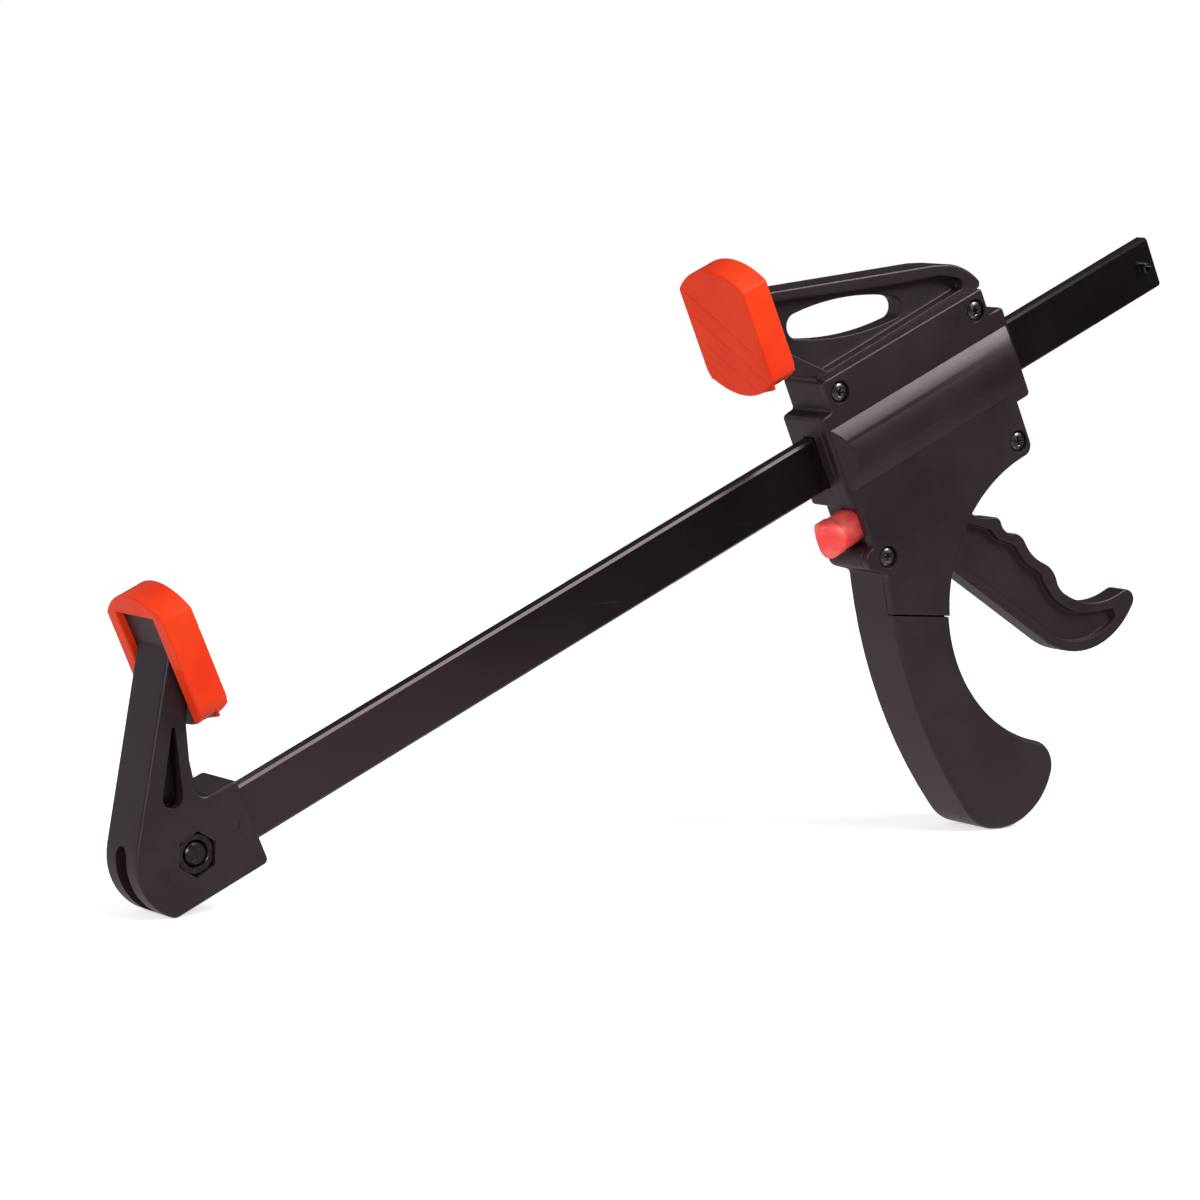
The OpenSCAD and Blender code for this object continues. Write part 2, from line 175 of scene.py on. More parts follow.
class Solid:
    """One mesh on the bench, in millimetres on the straight clamp, and what is done to it."""

    def __init__(self, obj: bpy.types.Object) -> None:
        """Takes a mesh object onto the bench."""
        self.obj = obj

    @staticmethod
    def clear() -> None:
        """Deselects everything, so that an operator acts on its own object alone."""
        if bpy.context.mode != "OBJECT":
            bpy.ops.object.mode_set(mode="OBJECT")
        bpy.ops.object.select_all(action="DESELECT")

    def _hold(self) -> None:
        """Selects this object alone and makes it the active one."""
        self.clear()
        self.obj.select_set(True)
        bpy.context.view_layer.objects.active = self.obj

    def _edit(self) -> None:
        """Opens the mesh for editing with all of it selected."""
        self._hold()
        bpy.ops.object.mode_set(mode="EDIT")
        bpy.ops.mesh.select_mode(type="EDGE")
        bpy.ops.mesh.select_all(action="SELECT")

    @classmethod
    def _wire(cls, spots: Sequence[Vector], fill: str) -> "Solid":
        """Lays a circle of vertices and brings each to its spot.

        Args:
            spots: The spots, in order.
            fill: How the circle is filled.

        Returns:
            The wire or face.
        """
        cls.clear()
        bpy.ops.mesh.primitive_circle_add(vertices=len(spots), radius=9.0, fill_type=fill)
        made = cls(bpy.context.active_object)
        for vertex, spot in zip(made.obj.data.vertices, spots, strict=True):
            vertex.co = spot
        return made

    @classmethod
    def plate(
        cls, outline: Outline, low: float, high: float, plane: Plane = Plane.SIDE
    ) -> "Solid":
        """Cuts a plate of even thickness from an outline.

        Args:
            outline: The outline, drawn in the plane.
            low: Where the plate starts along the third axis.
            high: Where it ends.
            plane: The plane of the outline.

        Returns:
            The plate.
        """
        made = cls._wire([plane.at(point, low) for point in outline], "NGON")
        made._edit()
        bpy.ops.mesh.extrude_region_move(
            TRANSFORM_OT_translate={"value": plane.through * (high - low)}
        )
        return made._outwards()

    @classmethod
    def rod(
        cls, radius: float, low: float, high: float, at: Point = (0.0, 0.0),
        plane: Plane = Plane.SIDE, sides: int = 64,
    ) -> "Solid":
        """Turns a plain round rod that stands across a plane, with its middle at a point."""
        step = FULL_TURN / sides
        return cls.plate(arc(at, radius, 0, FULL_TURN - step, step), low, high, plane)

    @classmethod
    def block(cls, low: Place, high: Place) -> "Solid":
        """Saws a block from its lowest to its highest corner."""
        square = [(low[0], low[2]), (high[0], low[2]), (high[0], high[2]), (low[0], high[2])]
        return cls.plate(square, low[1], high[1])

    @classmethod
    def turned(
        cls, profile: Outline, at: Point = (0.0, 0.0), plane: Plane = Plane.SIDE, sides: int = 64
    ) -> "Solid":
        """Turns a round piece on the lathe.

        Args:
            profile: Radius and depth of each point, from the axis round to the axis again.
            at: Where the axis meets the plane.
            plane: The plane that the axis stands across.
            sides: How many facets go round.

        Returns:
            The turned piece.
        """
        spots = [plane.at((at[0] + radius, at[1]), depth) for radius, depth in profile]
        made = cls._wire(spots, "NOTHING")
        made._pick(on(plane.value[0], at[0]))
        bpy.ops.mesh.delete(type="EDGE")
        bpy.ops.mesh.select_all(action="SELECT")
        bpy.ops.mesh.spin(
            steps=sides, angle=math.tau, center=plane.at(at, 0.0), axis=plane.through
        )
        bpy.ops.mesh.select_all(action="SELECT")
        bpy.ops.mesh.remove_doubles(threshold=NEAR / 4)
        return made._outwards()

    def _outwards(self) -> "Solid":
        """Turns all faces outwards and closes the mesh for editing.

        Returns:
            The same solid.
        """
        bpy.ops.mesh.select_all(action="SELECT")
        bpy.ops.mesh.normals_make_consistent(inside=False)
        bpy.ops.object.mode_set(mode="OBJECT")
        return self

    def _pick(self, where: EdgeTest, sharper: float = 0.0) -> int:
        """Opens the mesh for editing with some edges selected.

        Args:
            where: The test that an edge has to pass.
            sharper: Least angle between its two faces, in degrees.

        Returns:
            How many edges are selected.
        """
        self._edit()
        bpy.ops.mesh.select_all(action="DESELECT")
        mesh = bmesh.from_edit_mesh(self.obj.data)
        picked = 0
        for edge in mesh.edges:
            if not where(edge.verts[0].co, edge.verts[1].co):
                continue
            if sharper and (
                len(edge.link_faces) != 2 or edge.calc_face_angle() < math.radians(sharper)
            ):
                continue
            edge.select_set(True)
            picked += 1
        bmesh.update_edit_mesh(self.obj.data)
        return picked

    def round(
        self, width: float, where: EdgeTest, segments: int = 3, sharper: float = 35.0
    ) -> "Solid":
        """Rounds edges.

        Args:
            width: How far the rounding reaches from the edge.
            where: The test for the edges to round.
            segments: How many facets the rounding has.
            sharper: Edges flatter than this angle stay as they are.

        Returns:
            The same solid.
        """
        if self._pick(where, sharper):
            bpy.ops.mesh.bevel(
                offset_type="OFFSET", offset=width, segments=segments, profile=0.5,
                affect="EDGES", clamp_overlap=False,
            )
        else:
            LOG.warning("%s has no edge to round by %.1f", self.obj.name, width)
        bpy.ops.object.mode_set(mode="OBJECT")
        return self

    def taper(self, factor: float, axis: int, value: float, centre: Vector) -> "Solid":
        """Draws one end of the solid in.

        Args:
            factor: What the end is scaled by.
            axis: The axis that the end stands across.
            value: Where the end lies on that axis.
            centre: The point that the end is drawn in to.

        Returns:
            The same solid.
        """
        self._pick(on(axis, value))
        scale = [factor, factor, factor]
        scale[axis] = 1.0
        bpy.ops.transform.resize(value=scale, center_override=centre)
        bpy.ops.object.mode_set(mode="OBJECT")
        return self

    def shaped(self, rule: Callable[[Vector], Vector]) -> "Solid":
        """Moves every corner of the mesh by a rule.

        Args:
            rule: Gives the new place of a corner from its old one.

        Returns:
            The same solid.
        """
        for vertex in self.obj.data.vertices:
            vertex.co = rule(vertex.co)
        return self

    def tidy(self) -> "Solid":
        """Clears the cuts' leftovers, so that flat faces are whole again.

        Returns:
            The same solid.
        """
        self._edit()
        bpy.ops.mesh.remove_doubles(threshold=NEAR / 2)
        bpy.ops.mesh.select_all(action="SELECT")
        bpy.ops.mesh.dissolve_degenerate(threshold=NEAR / 2)
        bpy.ops.mesh.select_all(action="SELECT")
        bpy.ops.mesh.dissolve_limited(angle_limit=math.radians(0.4))
        return self._outwards()

    def _combine(self, others: Sequence["Solid"], operation: str) -> "Solid":
        """Joins, cuts or intersects with other solids, which are used up.

        Args:
            others: The other solids.
            operation: UNION, DIFFERENCE or INTERSECT.

        Returns:
            The same solid.
        """
        for other in others:
            self._hold()
            step = self.obj.modifiers.new("step", "BOOLEAN")
            step.operation = operation
            step.solver = "EXACT"
            step.object = other.obj
            bpy.ops.object.modifier_apply(modifier=step.name)
            bpy.data.objects.remove(other.obj)
        return self

    def cut(self, *others: "Solid") -> "Solid":
        """Takes other solids away."""
        return self._combine(others, "DIFFERENCE")

    def add(self, *others: "Solid") -> "Solid":
        """Joins other solids on."""
        return self._combine(others, "UNION")

    def keep(self, other: "Solid") -> "Solid":
        """Keeps only what another solid shares."""
        return self._combine([other], "INTERSECT")

    def moved(self, place: Matrix) -> "Solid":
        """Moves the mesh.

        Args:
            place: The move, turn or scale.

        Returns:
            The same solid.
        """
        self._hold()
        self.obj.matrix_world = place
        bpy.ops.object.transform_apply(location=True, rotation=True, scale=True)
        return self

    def mirrored(self) -> "Solid":
        """Mirrors the mesh to the other side of the bar.

        Returns:
            The same solid.
        """
        self.moved(Matrix.Scale(-1.0, 4, Vector((0.0, 1.0, 0.0))))
        self._edit()
        return self._outwards()

    def joined(self, *others: "Solid") -> "Solid":
        """Puts solids that lie apart into one mesh.

        Args:
            others: The other solids, which are used up.

        Returns:
            The same solid.
        """
        self._hold()
        for solid in others:
            solid.obj.select_set(True)
        bpy.ops.object.join()
        return self

    def smooth(self, sharper: float) -> "Solid":
        """Shades curves smooth and keeps flats flat.

        Args:
            sharper: Edges above this angle, in degrees, stay sharp.

        Returns:
            The same solid.
        """
        self._hold()
        bpy.ops.object.shade_smooth_by_angle(angle=math.radians(sharper))
        step = self.obj.modifiers.new("flats", "WEIGHTED_NORMAL")
        step.mode = "FACE_AREA"
        step.weight = 60
        step.keep_sharp = True
        bpy.ops.object.modifier_apply(modifier=step.name)
        return self


@dataclass(frozen=True)
class Placing:
    """Where the millimetres of the straight clamp, and of its head, lie in the frame."""

    clamp: Matrix
    head: Matrix

    @classmethod
    def of_joints(cls, joints: Sequence[dict], head_x: float, pivot: Point) -> "Placing":
        """Reads the lie of the clamp from its joints.

        Args:
            joints: The joints of the frame.
            head_x: Where the head's zero lies along the bar.
            pivot: The trigger's pivot on the head.

        Returns:
            The placing.
        """
        named = {j["name"]: j for j in joints}
        along = Vector(named["bar_slide"]["axis"]).normalized()
        across = Vector((0.0, 1.0, 0.0))
        turn = Matrix((along, across, along.cross(across))).transposed()
        hinge = Vector((head_x + pivot[0], 0.0, pivot[1]))
        origin = Vector(named["trigger_squeeze"]["pos_m"]) - turn @ hinge * MM
        clamp = Matrix.Translation(origin) @ turn.to_4x4() @ Matrix.Scale(MM, 4)
        return cls(clamp, clamp @ Matrix.Translation((head_x, 0.0, 0.0)))


# ---------------------------------------------------------------- materials


def _operator(operation: str, swapped: bool = False) -> "Callable[[Value, Value | float], Value]":
    """Makes an operator that adds one Math node; swapped, it is the reflected form."""
    return lambda me, other: me.math(operation, *((other, me) if swapped else (me, other)))


class Value:
    """A number that varies over a surface; its operators add the Math nodes."""

    def __init__(self, recipe: "Recipe", socket: bpy.types.NodeSocket) -> None:
        """Wraps a socket of one of the recipe's nodes."""
        self.recipe, self.socket = recipe, socket

    def math(self, operation: str, *terms: "Value | float") -> "Value":
        """Adds one Math node, with the terms in the order of its sockets."""
        feeds = dict(enumerate(terms))
        return self.recipe.value("ShaderNodeMath", {"operation": operation}, feeds)

    __add__, __radd__ = _operator("ADD"), _operator("ADD", True)
    __sub__, __rsub__ = _operator("SUBTRACT"), _operator("SUBTRACT", True)
    __mul__, __rmul__ = _operator("MULTIPLY"), _operator("MULTIPLY", True)

    def rise(self, low: float, high: float) -> "Value":
        """Goes smoothly from 0 at low to 1 at high.

        Args:
            low: Where it leaves 0.
            high: Where it reaches 1.

        Returns:
            The result.
        """
        return self.recipe.value(
            "ShaderNodeMapRange",
            {"interpolation_type": "SMOOTHSTEP", "clamp": True},
            {"Value": self, "From Min": low, "From Max": high, "To Min": 0.0, "To Max": 1.0},
        )


Feed = Value | bpy.types.NodeSocket | float | Place


class Recipe:
    """The nodes of a material or of the world in the making."""

    def __init__(self, owner: bpy.types.Material | bpy.types.World) -> None:
        """Starts with no nodes.

        Args:
            owner: The new material or world.
        """
        owner.use_nodes = True
        self.owner, self.tree = owner, owner.node_tree
        self.tree.nodes.clear()

    def node(
        self, kind: str, settings: dict[str, object] | None = None,
        feeds: dict[str | int, Feed] | None = None,
    ) -> bpy.types.Node:
        """Adds one node.

        Args:
            kind: The node's type.
            settings: Its settings, which are set first.
            feeds: The value or link of each socket, by name or by number.

        Returns:
            The node.
        """
        made = self.tree.nodes.new(kind)
        for key, value in (settings or {}).items():
            setattr(made, key, value)
        for key, value in (feeds or {}).items():
            if isinstance(value, Value):
                value = value.socket
            if isinstance(value, bpy.types.NodeSocket):
                self.tree.links.new(value, made.inputs[key])
            else:
                made.inputs[key].default_value = value
        return made

    def value(self, kind: str, settings: dict[str, object] | None, feeds: dict) -> Value:
        """Adds one node whose first output is a number."""
        return Value(self, self.node(kind, settings, feeds).outputs[0])

    def place(self, stretch: Place = (1.0, 1.0, 1.0)) -> bpy.types.NodeSocket:
        """The place on the piece, in metres.

        Args:
            stretch: What each axis is multiplied by.

        Returns:
            The place.
        """
        spot = self.node("ShaderNodeTexCoord").outputs["Object"]
        if tuple(stretch) == (1.0, 1.0, 1.0):
            return spot
        return self.node("ShaderNodeMapping", None, {"Vector": spot, "Scale": stretch}).outputs[0]

    def noise(
        self, size: float, detail: float = 2.0, rough: float = 0.5, stretch: Place = (1.0, 1.0, 1.0)
    ) -> Value:
        """Even random spots.

        Args:
            size: Size of the spots, in millimetres.
            detail: How many finer layers lie over them.
            rough: How strong those layers are.
            stretch: What each axis is multiplied by.

        Returns:
            A number about 0.5.
        """
        feeds = {"Vector": self.place(stretch), "Scale": 1.0 / (size * MM)}
        feeds |= {"Detail": detail, "Roughness": rough}
        return self.value("ShaderNodeTexNoise", None, feeds)

    def mix(self, share: Value, low: Colour, high: Colour) -> bpy.types.NodeSocket:
        """Mixes two colours by the share of the second."""
        feeds = {0: share, 6: (*low, 1.0), 7: (*high, 1.0)}
        return self.node("ShaderNodeMix", {"data_type": "RGBA"}, feeds).outputs[2]

    def bump(self, height: Value, depth: float, strength: float) -> bpy.types.NodeSocket:
        """Bends the normal by a height from 0 to 1, where 1 is a depth in millimetres."""
        feeds = {"Height": height, "Distance": depth * MM, "Strength": strength}
        return self.node("ShaderNodeBump", None, feeds).outputs[0]

    def surface(self, **feeds: Feed) -> bpy.types.Material:
        """Closes the material with its shader.

        Args:
            feeds: The shader's sockets by name, with _ for each space.

        Returns:
            The finished material.
        """
        named = {key.replace("_", " "): value for key, value in feeds.items()}
        shader = self.node("ShaderNodeBsdfPrincipled", None, named)
        self.node("ShaderNodeOutputMaterial", None, {"Surface": shader.outputs[0]})
        return self.owner


@dataclass(frozen=True)
class Finish:
    """A finish of the clamp, with the slot that it belongs to and the two ends of its colour."""

    name: str
    slot: str
    deep: Colour
    light: Colour

    def start(self) -> Recipe:
        """Starts its material."""
        return Recipe(bpy.data.materials.new(self.name))

    def make(self) -> bpy.types.Material:
        """Makes the material."""
        raise NotImplementedError

    def material(self) -> bpy.types.Material:
        """Gives the material, which is made once."""
        return bpy.data.materials.get(self.name) or self.make()


@dataclass(frozen=True)
class MouldedNylon(Finish):
    """Glass filled nylon from a fine sand-blasted mould."""

    rough: float = 0.44
    grain: float = 0.55
    relief: float = 0.02
    shine: float = 0.55
    tint: Colour = (1.0, 0.88, 0.95)

    def make(self) -> bpy.types.Material:
        """Makes the material: clouded charcoal, a fine grain and faint rub marks.

        Returns:
            The material.
        """
        recipe = self.start()
        clouds = recipe.noise(26.0, 3.0, 0.55)
        grain = recipe.noise(self.grain, 2.0, 0.6)
        fibres = recipe.noise(2.2, 2.0, 0.6, (0.35, 1.0, 1.0))
        rubbed = recipe.noise(60.0, 4.0, 0.6).rise(0.55, 0.75) * fibres.rise(0.5, 0.7)
        shade = clouds.rise(0.3, 0.7) * 0.5 + rubbed * 0.25 + grain.rise(0.45, 0.75) * 0.25
        height = grain * 1.1 + recipe.noise(4.0, 2.0) * 0.6
        return recipe.surface(
            Base_Color=recipe.mix(shade, self.deep, self.light),
            Roughness=self.rough + (clouds - 0.5) * 0.12 + (grain - 0.5) * 0.16,
            Normal=recipe.bump(height, self.relief, 0.55),
            Specular_IOR_Level=self.shine,
            Specular_Tint=(*self.tint, 1.0),
        )


@dataclass(frozen=True)
class SoftPad(Finish):
    """Satin elastomer of the pads."""

    rough: float = 0.38
    relief: float = 0.02
    shine: float = 0.22
    tint: Colour = (1.0, 0.6, 0.45)

    def make(self) -> bpy.types.Material:
        """Makes the material: flow clouds in the colour and a soft skin.

        Returns:
            The material.
        """
        recipe = self.start()
        flow = recipe.noise(22.0, 2.0, 0.5, (1.0, 1.0, 0.6))
        skin = recipe.noise(0.8, 2.0, 0.5)
        dust = recipe.noise(3.0, 4.0, 0.65).rise(0.62, 0.8)
        return recipe.surface(
            Base_Color=recipe.mix(flow.rise(0.3, 0.7) * 0.85 + dust * 0.15, self.deep, self.light),
            Roughness=self.rough + (flow - 0.5) * 0.12 + dust * 0.12,
            Normal=recipe.bump(skin * 0.5 + flow * 1.5, self.relief, 0.5),
            Specular_IOR_Level=self.shine,
            Specular_Tint=(*self.tint, 1.0),
        )


@dataclass(frozen=True)
class GlossMoulding(Finish):
    """Satin gloss moulding of the release button."""

    rough: float = 0.4
    relief: float = 0.008
    shine: float = 0.55

    def make(self) -> bpy.types.Material:
        """Makes the material: even colour with slight flow clouds and a soft gloss.

        Returns:
            The material.
        """
        recipe = self.start()
        flow = recipe.noise(6.0, 2.0, 0.5)
        skin = recipe.noise(0.5, 2.0, 0.5)
        return recipe.surface(
            Base_Color=recipe.mix(flow.rise(0.3, 0.7), self.deep, self.light),
            Roughness=self.rough + (flow - 0.5) * 0.1 + (skin - 0.5) * 0.06,
            Normal=recipe.bump(skin, self.relief, 0.5),
            Specular_IOR_Level=self.shine,
        )


@dataclass(frozen=True)
class CoatedSteel(Finish):
    """Black baked coating of the bar."""

    rough: float = 0.2
    relief: float = 0.004
    shine: float = 0.85
    tint: Colour = (1.0, 0.80, 0.87)

    def make(self) -> bpy.types.Material:
        """Makes the material: near black, softly glossy, with marks rubbed along the bar.

        Returns:
            The material.
        """
        recipe = self.start()
        peel = recipe.noise(1.6, 2.0, 0.5)
        clouds = recipe.noise(30.0, 3.0, 0.5)
        rubs = recipe.noise(1.2, 3.0, 0.6, (0.05, 1.0, 1.0)).rise(0.6, 0.8)
        rubs = rubs * recipe.noise(45.0, 2.0).rise(0.45, 0.7)
        shade = rubs * 0.6 + clouds.rise(0.3, 0.8) * 0.3
        return recipe.surface(
            Base_Color=recipe.mix(shade, self.deep, self.light),
            Roughness=self.rough + (clouds - 0.5) * 0.08 + rubs * 0.15,
            Normal=recipe.bump(peel, self.relief, 0.5),
            Specular_IOR_Level=self.shine,
            Specular_Tint=(*self.tint, 1.0),
        )


@dataclass(frozen=True)
class Steel(Finish):
    """Steel of the fixings, plates and springs, blackened or plated."""

    rough: float = 0.36
    wear: float = 0.5
    metal: float = 0.9
    relief: float = 0.012

    def make(self) -> bpy.types.Material:
        """Makes the material: mottled oxide or plating, brighter where it is worn.

        Returns:
            The material.
        """
        recipe = self.start()
        mottle = recipe.noise(1.4, 4.0, 0.65)
        lines = recipe.noise(0.25, 2.0, 0.6, (1.0, 0.15, 1.0))
        worn = mottle.rise(0.5, 0.72) * self.wear
        return recipe.surface(
            Base_Color=recipe.mix(worn + lines * 0.15, self.deep, self.light),
            Metallic=self.metal - worn * 0.1,
            Roughness=self.rough + (mottle - 0.5) * 0.2 + (lines - 0.5) * 0.1,
            Normal=recipe.bump(mottle * 0.6 + lines * 0.4, self.relief, 0.6),
        )


class Finishes:
    """The finishes of the clamp."""

    body = MouldedNylon(
        "moulded_nylon_charcoal", "body_plastic", (0.0125, 0.0068, 0.01), (0.024, 0.0145, 0.019)
    )
    cover = MouldedNylon(
        "moulded_nylon_dark", "cover_plastic", (0.013, 0.007, 0.0105), (0.025, 0.015, 0.02), 0.4
    )
    pad = SoftPad("pad_elastomer", "pad_rubber", (0.72, 0.031, 0.006), (0.78, 0.049, 0.009))
    button = GlossMoulding(
        "button_moulding", "button_plastic", (0.95, 0.045, 0.042), (1.0, 0.15, 0.13)
    )
    bar = CoatedSteel(
        "bar_black_coat", "bar_coating", (0.0022, 0.0014, 0.0017), (0.01, 0.007, 0.008)
    )
    dark = Steel(
        "steel_blackened", "dark_steel", (0.03, 0.026, 0.028), (0.14, 0.125, 0.125), 0.3
    )
    screw = Steel(
        "steel_screw", "screw_steel", (0.07, 0.061, 0.062), (0.44, 0.4, 0.39), 0.27, 0.7
    )
    bright = Steel("steel_plated", "bright_steel", (0.42, 0.42, 0.44), (0.6, 0.6, 0.62), 0.3)
    spring = Steel("steel_spring", "spring_steel", (0.38, 0.38, 0.4), (0.55, 0.55, 0.57), 0.28)


@dataclass
class Shop:
    """What every sub-assembly needs: the placing and the frame's nodes."""

    placing: Placing
    nodes: dict[str, bpy.types.Object]

    def hand_over(
        self, solid: Solid, name: str, node: str, body: str, finish: Finish,
        place: Matrix, sharper: float = SHARP,
    ) -> None:
        """Finishes a piece: lays it in the frame, smooths and dresses it, and hangs it on its body.

        Args:
            solid: The piece, in millimetres.
            name: The piece's name.
            node: The node that it stands for.
            body: The body that it rides on.
            finish: Its finish.
            place: Where its millimetres lie in the frame.
            sharper: Edges above this angle, in degrees, stay sharp.
        """
        piece = solid.moved(place).smooth(sharper).obj
        piece.name = piece.data.name = name
        piece.data.materials.clear()
        piece.data.materials.append(finish.material())
        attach(piece, body)
        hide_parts(node)
        LOG.info("%s stands for %s, %d faces", name, node, len(piece.data.polygons))

    def dress(self, node: str, finish: Finish) -> None:
        """Gives a node that stays its material.

        Args:
            node: The node.
            finish: Its finish.
        """
        slots = self.nodes[node].data.materials
        for i in range(len(slots)):
            slots[i] = finish.material()
        if not slots:
            slots.append(finish.material())
        LOG.info("%s keeps its solid, in %s", node, finish.name)


# ---------------------------------------------------------------- bar


@dataclass
class Bar:
    """Flat steel bar and the roll pin through its free end."""

    start: float = -36.0
    length: float = 474.0
    height: float = 20.0
    thick: float = 6.0
    corner: float = 0.9
    bolt_hole: float = 4.2
    through: float = 9.0
    pin_from_end: float = 6.0
    pin_radius: float = 2.0
    pin_half: float = 6.0
    pin_wall: float = 0.75
    pin_play: float = 0.03
    slit: float = 0.3
    slit_reach: float = 4.0
    bevel: float = 0.35

    @property
    def end(self) -> float:
        """Where the free end lies."""
        return self.start + self.length

    @property
    def pin_at(self) -> Point:
        """Where the end pin's axis lies."""
        return (self.end - self.pin_from_end, BAR_MIDDLE)

    def make_bar(self) -> Solid:
        """Rolls the bar with its rounded corners and drills it.

        Returns:
            The bar.
        """
        half, flank = self.height / 2, self.thick / 2
        low, high = BAR_MIDDLE - half, BAR_MIDDLE + half
        bar = Solid.block((self.start, -flank, low), (self.end, flank, high))
        bar.round(self.corner, lengthwise, 1)
        bar.round(self.bevel, ends(self.start, self.end, 0), 2, 50.0)
        out, pin_hole = self.through, self.pin_radius + self.pin_play
        bar.cut(
            Solid.rod(self.bolt_hole, -out, out, BOLT_AT),
            Solid.rod(pin_hole, -out, out, self.pin_at, sides=40),
        )
        return bar

    def make_pin(self) -> Solid:
        """Rolls the spring pin: a split tube with chamfered ends.

        Returns:
            The pin.
        """
        at, half = self.pin_at, self.pin_half
        pin = Solid.rod(self.pin_radius, -half, half, at, sides=40)
        pin.round(self.bevel, ends(-half, half), 1)
        pin.cut(Solid.rod(self.pin_radius - self.pin_wall, -half - 2, half + 2, at, sides=32))
        far = at[0] + self.slit_reach
        split = Solid.block((at[0], -half - 2, -self.slit), (far, half + 2, self.slit))
        return pin.cut(split)

    def build(self, shop: Shop) -> None:
        """Makes and dresses the bar and its pin.

        Args:
            shop: What the pieces are made with.
        """
        place, dark = shop.placing.clamp, Finishes.dark
        shop.hand_over(self.make_bar(), "steel_bar", "bar", "bar_jaw", Finishes.bar, place)
        shop.hand_over(self.make_pin(), "roll_pin", "bar_end_pin", "bar_jaw", dark, place)


# ---------------------------------------------------------------- fixed jaw


